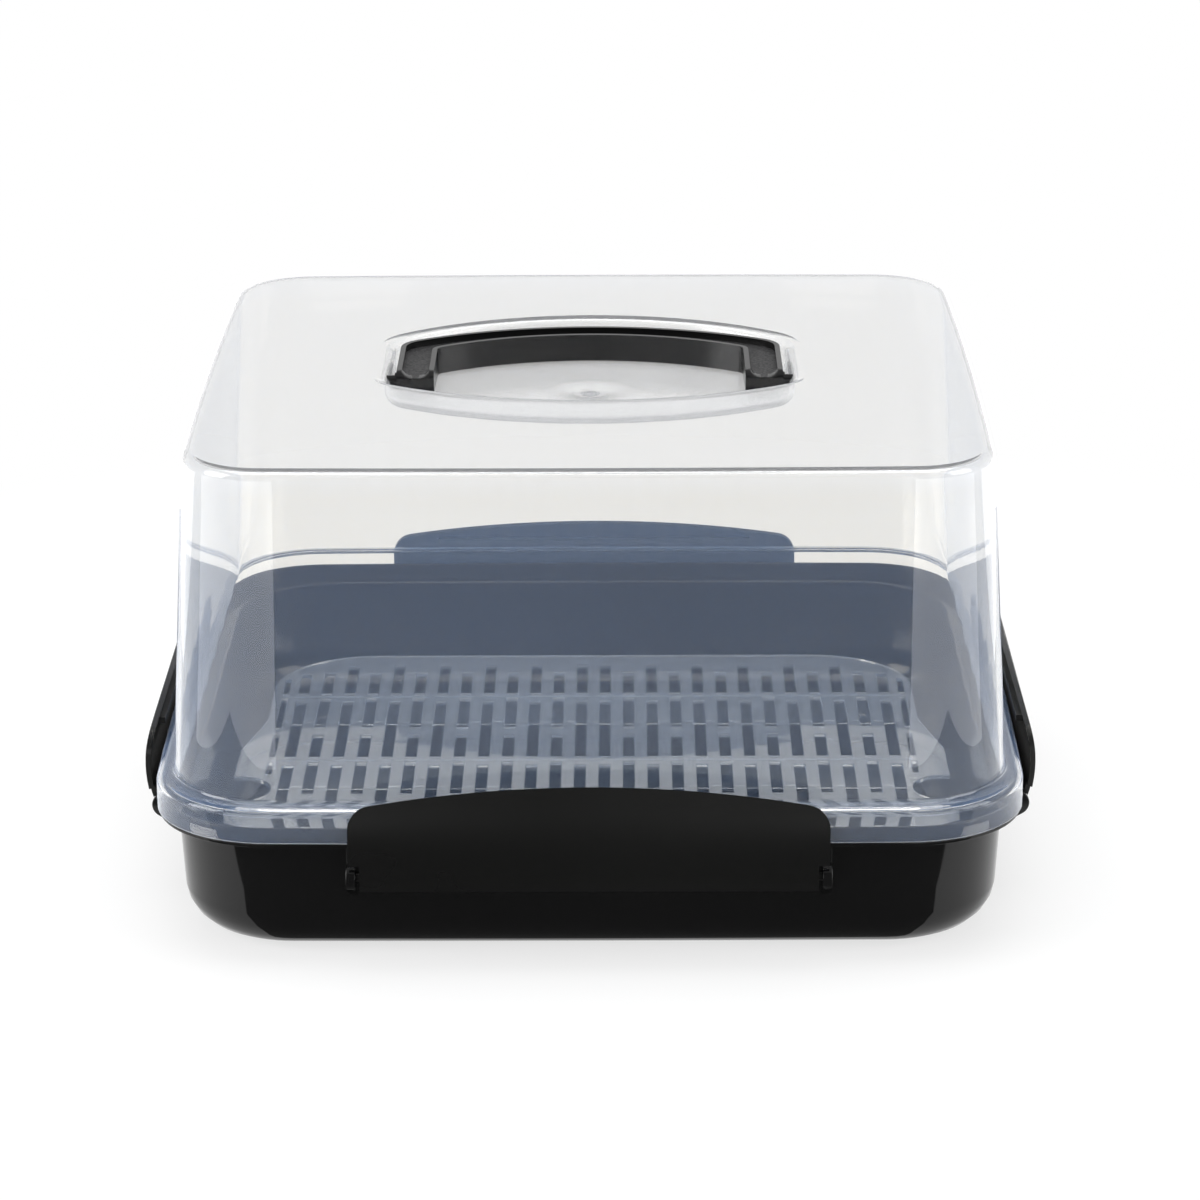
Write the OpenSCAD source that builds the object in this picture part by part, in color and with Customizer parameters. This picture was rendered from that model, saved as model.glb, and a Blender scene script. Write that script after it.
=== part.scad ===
// Square cake carrier: black tub, clear lift-off lid with a folding handle,
// four side clips hinged on the tub, and a lift-out perforated tray.
// X is to the right, Y to the rear, Z up. The origin is under the middle of the tub's foot.

/* [Carrier] */
// Width over the lid's flange, the widest moulded edge
carrier_w = 327.4; // [310:0.2:345]
// Height from the table to the lid's flat top
carrier_h = 185.8; // [150:0.1:230]
// How far the middle of each side of the lid and rim bows out
side_bow = 1.2; // [0.5:0.1:3]
// Radius of the flange's upright corners
flange_corner_r = 45.7; // [40:0.1:55]

/* [Tub] */
// Height from the table to the underside of the rim ledge
tub_h = 45.7; // [42:0.1:60]
// Thickness of the tub wall and floor
tub_wall = 2.0; // [1.5:0.1:3]
// Radius of the foot's edge, seen from the side
foot_r = 15; // [10:0.5:20]
// Radius of the tub's upright corners
tub_corner_r = 43; // [38:1:55]
// How far the middle of each side of the tub bows out
tub_bow = 0.4; // [0.1:0.1:2]
// How far the ledge stands out from the tub wall
ledge_out = 7.2; // [5:0.1:9]
// How far each wall leans in from the ledge to the foot
tub_lean = 1.9; // [0.5:0.1:5]
// How far the ledge lies inside the flange's edge
ledge_inset = 0.7; // [0.3:0.1:1.5]
// Thickness of the ledge
ledge_t = 1.6; // [1.2:0.1:3]
// Height of the upstand above the ledge
upstand_h = 5.7; // [3:0.1:8]
// Thickness of the upstand
upstand_t = 1.9; // [1.4:0.1:3]

/* [Lid] */
// Thickness of the lid's wall
lid_wall = 1.8; // [1.4:0.1:2.4]
// How far the flange stands out from the lid wall
flange_out = 6.7; // [5:0.1:8]
// How far each wall leans in from the flange to the top
lid_lean = 7; // [2:0.1:12]
// Radius of the upright corners at the top
lid_corner_r = 31; // [24:1:38]
// Radius of the top edge
lid_edge_r = 4; // [2.5:0.1:6]
// Height of the flange from its lower edge to its shoulder
flange_h = 12.9; // [11:0.1:16]
// Radius of the shoulder's outer edge
shoulder_r = 3; // [2:0.1:4]

/* [Handle] */
// Width over the handle
handle_w = 150.4; // [140:0.2:160]
// Height of the handle from its underside to its top face
handle_t = 10.7; // [9:0.1:12]
// Width of each leg
leg_w = 14.6; // [12:0.1:20]
// Radius of the rounded leg ends around the pivot
leg_end_r = 4.4; // [3.5:0.1:5]
// Distance behind the pivot line at which the legs reach their full height
leg_rise_l = 26; // [10:1:36]
// Distance from the pivot line to the grip's outer edge
handle_reach = 66.4; // [60:0.1:74]
// Width of the grip at its middle
grip_w = 13.8; // [11:0.1:18]
// Radius of the grip's outer edge, seen from above
grip_r = 126; // [115:1:180]
// Radius of the grip's inner edge, seen from above
grip_in_r = 103; // [95:1:150]
// Radius of the handle's outer corners
handle_corner_r = 13; // [8:1:18]
// Width of the raised rim around the handle's top face
handle_rim_w = 2; // [1.4:0.1:4]
// Depth of the channel inside that rim
channel_depth = 2.6; // [1:0.1:3.5]
// Distance of the pivot line in front of the lid's middle
pivot_front = 12; // [5:0.5:20]
// Diameter of the pivot stubs
stub_d = 3.9; // [3:0.1:5]

/* [Handle recess] */
// Gap between the handle and each end wall of its recess
recess_end_gap = 2.6; // [1:0.1:6]
// Gap under the folded handle
handle_floor_gap = 0.8; // [0.3:0.1:2]
// How far the folded handle stands above the lid's top
handle_proud = 1.1; // [0:0.1:2]
// Finger room behind the grip
recess_rear_gap = 19.9; // [12:0.1:24]
// Distance from the pivot line to the recess's front edge
recess_front = 39.5; // [34:0.1:60]
// Radius of the recess's rear edge, seen from above
recess_rear_r = 103.5; // [100:0.5:160]
// Radius of the recess's front edge, seen from above
recess_front_r = 128.5; // [120:0.5:200]
// Radius of the recess's rear corners
recess_rear_corner = 22; // [14:1:30]
// Radius of the recess's front corners
recess_front_corner = 12; // [6:1:16]
// Diameter of the shallow dish in the recess floor
dish_d = 26; // [16:1:32]
// Diameter of the dish's flat bottom
dish_flat_d = 8; // [4:1:14]
// Depth of the dish
dish_depth = 1.2; // [0.6:0.1:2]
// Distance of the dish behind the pivot line
dish_rear = 9; // [0:1:16]

/* [Clips] */
// Length of each clip
clip_l = 176; // [140:1:190]
// How far the clip's top stands above the lid's shoulder, at its middle
clip_over = 10.3; // [8:0.1:14]
// How much lower the clip's top edge is at its ends
clip_arch = 7.7; // [3:0.1:8]
// Thickness of the clip's face
clip_t = 2.0; // [1.6:0.1:2.4]
// How far the clip's face bows out
clip_bow = 3.3; // [2.5:0.1:5]
// Radius of the clip's upper corners
clip_corner_r = 9; // [5:0.5:12]
// Radius of the barrel along the clip's foot
barrel_r = 4.4; // [3.6:0.1:4.6]
// Diameter of the clip's pins
pin_d = 3.6; // [3:0.1:4.4]
// Height of the catch rib
catch_h = 2.4; // [1.5:0.1:3]
// Length of the catch rib
catch_l = 136; // [100:1:140]

/* [Hinge lugs] */
// Depth of the hinge line under the ledge
hinge_drop = 10.7; // [9:0.1:12]
// How far the hinge line lies inside the flange's edge
hinge_inset = 0.5; // [0:0.1:1]
// Thickness of each lug
lug_t = 3.6; // [2.5:0.1:5]
// Radius of the lug's eye
lug_r = 5.0; // [4.4:0.1:5.4]
// Depth of the lug's root under the hinge line, at the tub wall
lug_root = 11.5; // [8:0.1:14]
// How much the clip's foot is cut back at each end beside its lug
clip_foot_cut = 4; // [2:0.1:6]

/* [Tray] */
// Gap between the tray's edge and the tub wall
tray_edge_gap = 6.2; // [2:0.1:10]
// How much each side is cut back in front of and behind the wings
tray_side_cut = 9.5; // [4:0.5:20]
// Length of the wings at the tray's sides
wing_l = 166; // [140:1:180]
// Length of the slope at each end of a wing
wing_slope = 38; // [20:1:50]
// Height of the tray's underside above the tub floor
tray_lift = 11.6; // [9:0.1:16]
// Thickness of the tray
tray_t = 1.8; // [1.4:0.1:3]
// Radius of the tray's corners
tray_corner_r = 42; // [34:1:50]
// Width of the slots
slot_w = 4.6; // [3:0.1:5]
// Distance between slots
slot_pitch = 9.9; // [8:0.1:14]
// Distance between the cross ribs
rib_pitch = 78; // [60:1:90]
// Distance of the middle cross rib behind the tray's middle
rib_rear = 15; // [0:1:20]
// Thickness of the cross ribs
rib_t = 2.2; // [1.6:0.1:3]
// Length of the cross ribs
rib_l = 262; // [200:1:266]
// Plain strip on each side of a cross rib
rib_strip = 3; // [2:0.5:6]
// Length of the ties that cross every second slot
tie_l = 9; // [4:0.5:12]
// Distance of the ties behind each cross rib
tie_rear = 34; // [24:1:44]
// How much shorter the slots without ties are at their rear end
plain_slot_cut = 4; // [0:0.5:8]
// Width of the narrow slot along each side
edge_slot_w = 2.6; // [1.6:0.1:3.4]
// Distance of the narrow slot from the tray's side
edge_slot_in = 5; // [4:0.1:6]
// Plain margin around the slots
slot_margin = 9; // [6:0.5:14]
// Shortest slot
min_slot = 8; // [6:1:16]
// Depth of the finger notches at the tray's sides
notch_depth = 17; // [14:1:22]
// Width of the finger notches
notch_w = 28; // [22:1:32]
// Distance of the finger notches in front of the tray's middle
notch_front = 19; // [0:1:30]

/* [Fits] */
// Gap between parts that rest on each other
seat_gap = 0.3; // [0.2:0.05:0.5]
// Gap between the lid's skirt and the upstand
skirt_gap = 0.4; // [0.3:0.05:0.8]
// Gap between the closed clips and the lid's way up
clip_gap = 0.4; // [0.3:0.05:0.8]
// Gap between the catch rib and the lid's shoulder
catch_gap = 0.3; // [0.2:0.05:0.5]
// Gap between the clip's notch and the lug's eye
swing_gap = 1.1; // [0.4:0.1:1.5]
// Gap between a lug and the clip's foot
lug_side_gap = 1.5; // [0.3:0.1:3]
// Gap around each pin and stub in its hole
run_gap = 0.05; // [0.02:0.01:0.1]

/* [Hidden] */
$fn = 64;
over = 1;
// How far a corner's arc runs past the long arc that it meets
arc_lap = 0.05;
black = "#202020";
clear_lid = [0.90, 0.92, 0.94, 0.35];
clear_tray = [0.75, 0.80, 0.86, 0.5];
arc_steps = 10;
side_steps = 6;
edge_steps = 4;

// Half widths at the middle of a side
flange_half = carrier_w / 2;
lid_foot_half = flange_half - flange_out;
lid_top_half = lid_foot_half - lid_lean;
ledge_half = flange_half - ledge_inset;
tub_top_half = ledge_half - ledge_out;
tub_half = tub_top_half - tub_lean;
upstand_half = flange_half - lid_wall - skirt_gap;

// Heights
ledge_z = tub_h + ledge_t;
rim_z = ledge_z + upstand_h;
skirt_z = ledge_z + seat_gap;
shoulder_z = skirt_z + flange_h;
ceiling_z = carrier_h - lid_wall;
recess_depth = handle_t + handle_floor_gap - handle_proud;
recess_z = carrier_h - recess_depth;
handle_z = recess_z + handle_floor_gap;
handle_top_z = handle_z + handle_t;
pivot_z = handle_top_z - leg_end_r;
pivot_y = -pivot_front;

// Hinge line of the front clip
hinge_y = flange_half - hinge_inset;
hinge_z = tub_h - hinge_drop;

// ---- Rounded squares with bowed sides ----

// Slope of a bowed side where it meets its corner
function bow_angle(half, r, bow) = atan(2 * bow / (half - r));

// Distance of a corner's centre from the middle planes
function corner_centre(half, r, bow) = half - bow - r * cos(bow_angle(half, r, bow));

// One quarter of the outline: a bowed side, then the corner after it
function quarter(half, r, bow) =
    let (a = bow_angle(half, r, bow))
    let (c = corner_centre(half, r, bow))
    let (side_end = c + r * sin(a))
    concat(
        [for (i = [0 : side_steps - 1])
            let (y = side_end * (2 * i / side_steps - 1))
            [half - bow * pow(y / side_end, 2), y]],
        [for (i = [0 : arc_steps - 1])
            let (t = a + (90 - 2 * a) * i / arc_steps)
            [c + r * cos(t), c + r * sin(t)]]
    );

function turned(p, angle) = [p.x * cos(angle) - p.y * sin(angle), p.x * sin(angle) + p.y * cos(angle)];

// Outline of one level, written as [half width, corner radius, bow, height]
function outline(level) =
    [for (side = [0 : 3])
        for (p = quarter(level[0], level[1], level[2]))
            turned(p, 90 * side)];

// Solid that joins the levels in turn, closed by flat ends, or by joining the last level to the first
module stacked(levels, loop = false) {
    ring_n = 4 * (side_steps + arc_steps);
    level_n = len(levels);
    points = [for (level = levels) for (p = outline(level)) [p.x, p.y, level[3]]];
    walls = [for (i = [0 : level_n - (loop ? 1 : 2)])
        for (j = [0 : ring_n - 1])
            let (k = (j + 1) % ring_n)
            let (a = i * ring_n)
            let (b = (i + 1) % level_n * ring_n)
            each [[a + j, b + j, b + k], [a + j, b + k, a + k]]];
    first = [for (j = [0 : ring_n - 1]) j];
    last = [for (j = [ring_n - 1 : -1 : 0]) (level_n - 1) * ring_n + j];
    polyhedron(points, loop ? walls : concat([first], walls, [last]), convexity = 10);
}

// Levels along a rounding of radius r about the height z, between two angles
function round_levels(half, corner, bow, z, r, from, to) =
    [for (i = [0 : edge_steps])
        let (t = from + (to - from) * i / edge_steps)
        [half + r * cos(t), corner + r * cos(t), bow, z + r * sin(t)]];

// Rounded rectangle with true arcs
module rounded_rect(w, d, r) {
    square([w - 2 * r, d], center = true);
    square([w, d - 2 * r], center = true);
    for (x = [-1, 1])
        for (y = [-1, 1])
            translate([x * (w / 2 - r), y * (d / 2 - r)])
                circle(r);
}

// One of the four sides: 0 front, 1 right, 2 rear, 3 left
module on_side(side) {
    rotate(90 * side)
        children();
}

// ---- Tub ----

module tub_shell() {
    foot_half = tub_half - foot_r;
    foot_corner = tub_corner_r - foot_r;
    top_corner = tub_corner_r + tub_lean;
    ledge_corner = flange_corner_r - ledge_inset;
    upstand_corner = flange_corner_r - lid_wall - skirt_gap;
    inner_half = upstand_half - upstand_t;
    inner_corner = upstand_corner - upstand_t;
    stacked(concat(
        round_levels(foot_half, foot_corner, tub_bow, foot_r, foot_r, -90, 0),
        [
            [tub_top_half, top_corner, tub_bow, tub_h],
            [ledge_half, ledge_corner, side_bow, tub_h],
            [ledge_half, ledge_corner, side_bow, ledge_z],
            [upstand_half, upstand_corner, side_bow, ledge_z],
            [upstand_half, upstand_corner, side_bow, rim_z],
            [inner_half, inner_corner, side_bow, rim_z],
            [inner_half, inner_corner, side_bow, ledge_z],
            [tub_top_half - tub_wall, top_corner - tub_wall, tub_bow, ledge_z - ledge_t / 2]
        ],
        round_levels(foot_half, foot_corner, tub_bow, foot_r, foot_r - tub_wall, 0, -90)
    ));
}

// Middle of the tub wall's thickness at a height z
function wall_middle(z) =
    tub_half + tub_lean * (z - foot_r) / (tub_h - foot_r) - tub_bow - tub_wall / 2;

// Side view of a hinge lug: an eye, a rib up to the ledge and a slope down to the wall
module lug_profile() {
    rib_out = ledge_half - side_bow;
    rib_top = tub_h + ledge_t / 2;
    root_z = hinge_z - lug_root;
    root_x = wall_middle(root_z);
    slope = atan2(lug_root, hinge_y - root_x) - asin(lug_r / norm([lug_root, hinge_y - root_x]));
    translate([hinge_y, hinge_z])
        circle(lug_r);
    polygon([
        [root_x, root_z],
        [hinge_y + lug_r * sin(slope), hinge_z - lug_r * cos(slope)],
        [hinge_y, hinge_z], [rib_out, hinge_z],
        [rib_out, rib_top], [wall_middle(tub_h), rib_top]
    ]);
}

clip_half = clip_l / 2;
clip_foot_half = clip_half - clip_foot_cut;
lug_x = clip_foot_half + lug_side_gap + lug_t / 2;

module lugs() {
    for (end = [-1, 1])
        translate([end * lug_x, 0, 0])
            rotate([90, 0, -90])
                linear_extrude(lug_t, center = true)
                    lug_profile();
}

module pin_holes() {
    for (end = [-1, 1])
        translate([end * lug_x, -hinge_y, hinge_z])
            rotate([0, 90, 0])
                cylinder(h = lug_t + 2 * over, d = pin_d + 2 * run_gap, center = true);
}

module tub() {
    color(black) {
        tub_shell();
        for (side = [0 : 3])
            on_side(side)
                difference() {
                    lugs();
                    pin_holes();
                }
    }
}

// ---- Lid ----

lid_top_half_in = lid_top_half - lid_edge_r;
lid_top_corner_in = lid_corner_r - lid_edge_r;

// Walls, flange and top edge, with the flat top left open
module lid_walls() {
    edge_z = carrier_h - lid_edge_r;
    lid_foot_corner = flange_corner_r - flange_out;
    shoulder_half = flange_half - shoulder_r;
    shoulder_corner = flange_corner_r - shoulder_r;
    shoulder_mid_z = shoulder_z - shoulder_r;
    rim_half = lid_top_half_in - lid_edge_r;
    rim_corner = lid_top_corner_in - lid_edge_r;
    stacked(concat(
        [[rim_half, rim_corner, side_bow, ceiling_z]],
        round_levels(lid_top_half_in, lid_top_corner_in, side_bow, edge_z, lid_edge_r - lid_wall, 90, 0),
        [[lid_foot_half - lid_wall, lid_foot_corner - lid_wall, side_bow, shoulder_z - lid_wall]],
        round_levels(shoulder_half, shoulder_corner, side_bow, shoulder_mid_z, shoulder_r - lid_wall, 90, 0),
        [
            [flange_half - lid_wall, flange_corner_r - lid_wall, side_bow, skirt_z],
            [flange_half, flange_corner_r, side_bow, skirt_z]
        ],
        round_levels(shoulder_half, shoulder_corner, side_bow, shoulder_mid_z, shoulder_r, 0, 90),
        [[lid_foot_half, lid_foot_corner, side_bow, shoulder_z]],
        round_levels(lid_top_half_in, lid_top_corner_in, side_bow, edge_z, lid_edge_r, 0, 90),
        [[rim_half, rim_corner, side_bow, carrier_h]]
    ), true);
}

// Half width of the recess
recess_half = handle_w / 2 + recess_end_gap;

// Outline of the recess, between two arcs and two end lines, grown by a margin
module recess_outline(grow) {
    rear_r = recess_rear_r + grow;
    front_r = recess_front_r + grow;
    half = recess_half + grow;
    rear_corner = recess_rear_corner + grow;
    front_corner = recess_front_corner + grow;
    rear_cy = pivot_y + handle_reach + recess_rear_gap - recess_rear_r;
    front_cy = pivot_y - recess_front + recess_front_r;
    rear_x = half - rear_corner;
    rear_y = rear_cy + sqrt(pow(rear_r - rear_corner, 2) - pow(rear_x, 2)) + arc_lap;
    front_x = half - front_corner;
    front_y = front_cy - sqrt(pow(front_r - front_corner, 2) - pow(front_x, 2)) - arc_lap;
    rear_k = rear_r / (rear_r - rear_corner);
    front_k = front_r / (front_r - front_corner);
    intersection() {
        translate([0, rear_cy])
            circle(rear_r, $fn = 180);
        translate([0, front_cy])
            circle(front_r, $fn = 180);
        union() {
            polygon([
                [-half, rear_y], [-half, front_y],
                [-front_x, front_y],
                [-front_x * front_k, front_cy + (front_y - front_cy) * front_k],
                [-front_x * front_k, front_cy - front_r - over],
                [front_x * front_k, front_cy - front_r - over],
                [front_x * front_k, front_cy + (front_y - front_cy) * front_k],
                [front_x, front_y],
                [half, front_y], [half, rear_y],
                [rear_x, rear_y],
                [rear_x * rear_k, rear_cy + (rear_y - rear_cy) * rear_k],
                [rear_x * rear_k, rear_cy + rear_r + over],
                [-rear_x * rear_k, rear_cy + rear_r + over],
                [-rear_x * rear_k, rear_cy + (rear_y - rear_cy) * rear_k],
                [-rear_x, rear_y]
            ]);
            for (end = [-1, 1]) {
                translate([end * rear_x, rear_y])
                    circle(rear_corner);
                translate([end * front_x, front_y])
                    circle(front_corner);
            }
        }
    }
}

// Shallow cone of the dish, grown by a margin
module dish(grow) {
    translate([0, pivot_y + dish_rear, recess_z - dish_depth - grow])
        cylinder(h = dish_depth + grow, d1 = dish_flat_d + grow, d2 = dish_d + grow);
}

// Flat top with the handle recess in it, open at the pivot holes
module lid_top() {
    lap = lid_edge_r / 2;
    difference() {
        union() {
            translate([0, 0, ceiling_z])
                linear_extrude(lid_wall)
                    polygon(outline([lid_top_half_in - lap, lid_top_corner_in - lap, side_bow]));
            translate([0, 0, recess_z - lid_wall])
                linear_extrude(recess_depth + lid_wall)
                    recess_outline(lid_wall);
            dish(lid_wall);
        }
        translate([0, 0, recess_z])
            linear_extrude(recess_depth + over)
                recess_outline(0);
        dish(0);
        translate([0, pivot_y, pivot_z])
            rotate([0, 90, 0])
                cylinder(h = 2 * (recess_half + lid_wall + over), d = stub_d + 2 * run_gap, center = true);
    }
}

module lid() {
    color(clear_lid) {
        lid_walls();
        lid_top();
    }
}

// ---- Handle ----

handle_half = handle_w / 2;
handle_front = pivot_y - leg_end_r;
grip_cy = pivot_y + handle_reach - grip_r;
grip_in_cy = pivot_y + handle_reach - grip_w - grip_in_r;

// Outline of the folded handle from above, drawn in by a margin
module handle_outline(inset) {
    outer_r = grip_r - inset;
    half = handle_half - inset;
    open_half = handle_half - leg_w + inset;
    corner = handle_corner_r - inset;
    corner_x = half - corner;
    corner_y = grip_cy + sqrt(pow(outer_r - corner, 2) - pow(corner_x, 2));
    corner_k = outer_r / (outer_r - corner);
    difference() {
        intersection() {
            translate([0, grip_cy])
                circle(outer_r, $fn = 180);
            union() {
                polygon([
                    [-half, corner_y], [-half, handle_front], [half, handle_front], [half, corner_y],
                    [corner_x, corner_y],
                    [corner_x * corner_k, grip_cy + (corner_y - grip_cy) * corner_k],
                    [corner_x * corner_k, grip_cy + outer_r + over],
                    [-corner_x * corner_k, grip_cy + outer_r + over],
                    [-corner_x * corner_k, grip_cy + (corner_y - grip_cy) * corner_k],
                    [-corner_x, corner_y]
                ]);
                for (end = [-1, 1])
                    translate([end * corner_x, corner_y])
                        circle(corner);
            }
        }
        intersection() {
            translate([0, grip_in_cy])
                circle(grip_in_r + inset, $fn = 180);
            translate([-open_half, handle_front - over])
                square([2 * open_half, handle_reach + leg_end_r]);
        }
    }
}

// Side view of the folded handle: rounded leg ends, then a slope down to the full height
module handle_side() {
    translate([pivot_y, pivot_z])
        circle(leg_end_r);
    polygon([
        [pivot_y, pivot_z - leg_end_r], [pivot_y + leg_rise_l, handle_z],
        [pivot_y + handle_reach + over, handle_z],
        [pivot_y + handle_reach + over, handle_top_z], [pivot_y, handle_top_z]
    ]);
}

module handle() {
    stub_l = recess_end_gap + lid_wall;
    color(black)
        difference() {
            union() {
                intersection() {
                    translate([0, 0, handle_z])
                        linear_extrude(handle_t)
                            handle_outline(0);
                    rotate([90, 0, 90])
                        linear_extrude(handle_w + 2 * over, center = true)
                            handle_side();
                }
                for (end = [-1, 1])
                    translate([end * (handle_half + stub_l / 2), pivot_y, pivot_z])
                        rotate([0, 90, 0])
                            cylinder(h = stub_l + over, d = stub_d, center = true);
            }
            translate([0, 0, handle_top_z - channel_depth])
                linear_extrude(channel_depth + over)
                    union() {
                        handle_outline(handle_rim_w);
                        for (end = [-1, 1])
                            translate([end * (handle_half - leg_w / 2), handle_front])
                                square([leg_w - 2 * handle_rim_w, 2 * leg_end_r], center = true);
                    }
        }
}

// ---- Clips ----

clip_top_z = shoulder_z + clip_over;
clip_rise = clip_top_z - hinge_z;
face_foot_out = hinge_y + barrel_r;
face_top_out = flange_half + clip_gap + clip_t;
face_chord = norm([face_top_out - face_foot_out, clip_rise]);
face_r = (pow(face_chord / 2, 2) + pow(clip_bow, 2)) / (2 * clip_bow);
face_lean = atan((face_top_out - face_foot_out) / clip_rise);
face_middle = [(face_foot_out + face_top_out) / 2, hinge_z + clip_rise / 2];
face_centre = face_middle - (face_r - clip_bow) * [cos(face_lean), -sin(face_lean)];

// Section of the curved face above the hinge line and its square foot below
module face_section() {
    intersection() {
        difference() {
            translate(face_centre)
                circle(face_r, $fn = 160);
            translate(face_centre)
                circle(face_r - clip_t, $fn = 160);
        }
        translate([hinge_y, hinge_z])
            square([2 * barrel_r + clip_bow, clip_rise]);
    }
    translate([hinge_y, hinge_z - barrel_r])
        square([barrel_r, barrel_r]);
}

// Section of the catch rib, from just outside the flange to the middle of the face
module catch_section() {
    intersection() {
        translate([flange_half + clip_gap, shoulder_z + catch_gap])
            square([clip_bow + 2 * clip_t, catch_h]);
        translate(face_centre)
            circle(face_r - clip_t / 2, $fn = 160);
    }
}

// Front view of the face: arched top with rounded ends, measured from the hinge line
module face_view() {
    arch_r = (pow(clip_half, 2) + pow(clip_arch, 2)) / (2 * clip_arch);
    arch_cy = clip_rise - arch_r;
    corner_x = clip_half - clip_corner_r;
    corner_y = arch_cy + sqrt(pow(arch_r - clip_corner_r, 2) - pow(corner_x, 2));
    corner_k = arch_r / (arch_r - clip_corner_r);
    notch_y = lug_r + swing_gap;
    intersection() {
        translate([0, arch_cy])
            circle(arch_r, $fn = 180);
        union() {
            polygon([
                [-clip_half, corner_y], [-clip_half, notch_y],
                [-clip_foot_half, notch_y], [-clip_foot_half, -over],
                [clip_foot_half, -over], [clip_foot_half, notch_y],
                [clip_half, notch_y], [clip_half, corner_y],
                [corner_x, corner_y],
                [corner_x * corner_k, arch_cy + (corner_y - arch_cy) * corner_k],
                [corner_x * corner_k, clip_rise + over],
                [-corner_x * corner_k, clip_rise + over],
                [-corner_x * corner_k, arch_cy + (corner_y - arch_cy) * corner_k],
                [-corner_x, corner_y]
            ]);
            for (end = [-1, 1])
                translate([end * corner_x, corner_y])
                    circle(clip_corner_r);
        }
    }
}

// The front clip: curved face, catch rib, barrel and pins
module clip() {
    intersection() {
        rotate([90, 0, -90])
            linear_extrude(clip_l, center = true)
                face_section();
        translate([0, 0, hinge_z])
            rotate([90, 0, 0])
                linear_extrude(hinge_y + clip_l)
                    face_view();
    }
    rotate([90, 0, -90])
        linear_extrude(catch_l, center = true)
            catch_section();
    translate([0, -hinge_y, hinge_z])
        rotate([0, 90, 0]) {
            cylinder(h = 2 * clip_foot_half, r = barrel_r, center = true);
            cylinder(h = 2 * lug_x + lug_t, d = pin_d, center = true);
        }
}

module clip_front() {
    color(black)
        on_side(0)
            clip();
}

module clip_right() {
    color(black)
        on_side(1)
            clip();
}

module clip_rear() {
    color(black)
        on_side(2)
            clip();
}

module clip_left() {
    color(black)
        on_side(3)
            clip();
}

// ---- Tray ----

tray_half = tub_half - tub_wall - tray_edge_gap;
neck_half = tray_half - tray_side_cut;
tray_z = tub_wall + tray_lift;

// The tray widens at each side around its finger notch
module tray_outline() {
    wing_half = wing_l / 2;
    wing_flat = wing_half - wing_slope;
    rounded_rect(2 * neck_half, 2 * tray_half, tray_corner_r);
    for (side = [-1, 1])
        translate([0, -notch_front])
            polygon([
                [0, -wing_half], [side * neck_half, -wing_half],
                [side * tray_half, -wing_flat], [side * tray_half, wing_flat],
                [side * neck_half, wing_half], [0, wing_half]
            ]);
}

module finger_notches() {
    r = notch_w / 2;
    for (side = [-1, 1])
        translate([side * (tray_half - notch_depth + r), -notch_front]) {
            circle(r);
            translate([side * notch_depth / 2, 0])
                square([notch_depth, notch_w], center = true);
        }
}

// Half length of the slotted field at a distance x from the middle
function field_half(x) =
    let (bend = max(0, abs(x) - neck_half + tray_corner_r))
    tray_half - tray_corner_r - slot_margin + sqrt(pow(tray_corner_r, 2) - pow(bend, 2));

// One slot, unless it would be too short
module slot(x, w, from, to) {
    if (to - from > min_slot)
        translate([x - w / 2, from])
            square([w, to - from]);
}

column_n = floor((neck_half - edge_slot_in - (edge_slot_w + slot_w) / 2 - rib_strip) / slot_pitch + 0.5);
rib_n = ceil((tray_half + rib_rear) / rib_pitch);
rib_lines = [for (i = [-rib_n : rib_n]) rib_rear + rib_pitch * i];

// The slots of one column between the cross ribs, behind the line front
module column(x, w, tied, front) {
    for (y = rib_lines) {
        from = max(y + rib_strip, front);
        to = min(y + rib_pitch - rib_strip, field_half(x));
        tie = y + tie_rear;
        if (tied) {
            slot(x, w, from, min(to, tie - tie_l / 2));
            slot(x, w, max(from, tie + tie_l / 2), to);
        } else
            slot(x, w, from, to - plain_slot_cut);
    }
}

module slots() {
    edge_x = neck_half - edge_slot_in;
    for (side = [-1, 1]) {
        for (i = [0 : column_n - 1]) {
            x = (i + 0.5) * slot_pitch;
            column(side * x, slot_w, i % 2 == 1, -field_half(x));
        }
        column(side * edge_x, edge_slot_w, true, notch_w / 2 - notch_front + rib_strip);
    }
}

module tray() {
    color(clear_tray) {
        translate([0, 0, tray_z])
            linear_extrude(tray_t)
                difference() {
                    tray_outline();
                    finger_notches();
                    slots();
                }
        for (y = rib_lines)
            if (abs(y) < tray_half - tray_corner_r)
                translate([-rib_l / 2, y - rib_t / 2, tub_wall + seat_gap])
                    cube([rib_l, rib_t, tray_lift - seat_gap + tray_t / 2]);
    }
}

tub();
lid();
handle();
clip_front();
clip_right();
clip_rear();
clip_left();
tray();
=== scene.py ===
"""Dresses the square cake carrier: smooth moulded shells, rounded clips and handle, and their plastics."""

import math

import bmesh
import bpy
from bpy.props import FloatProperty, FloatVectorProperty, PointerProperty
from mathutils import Matrix, Vector


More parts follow.
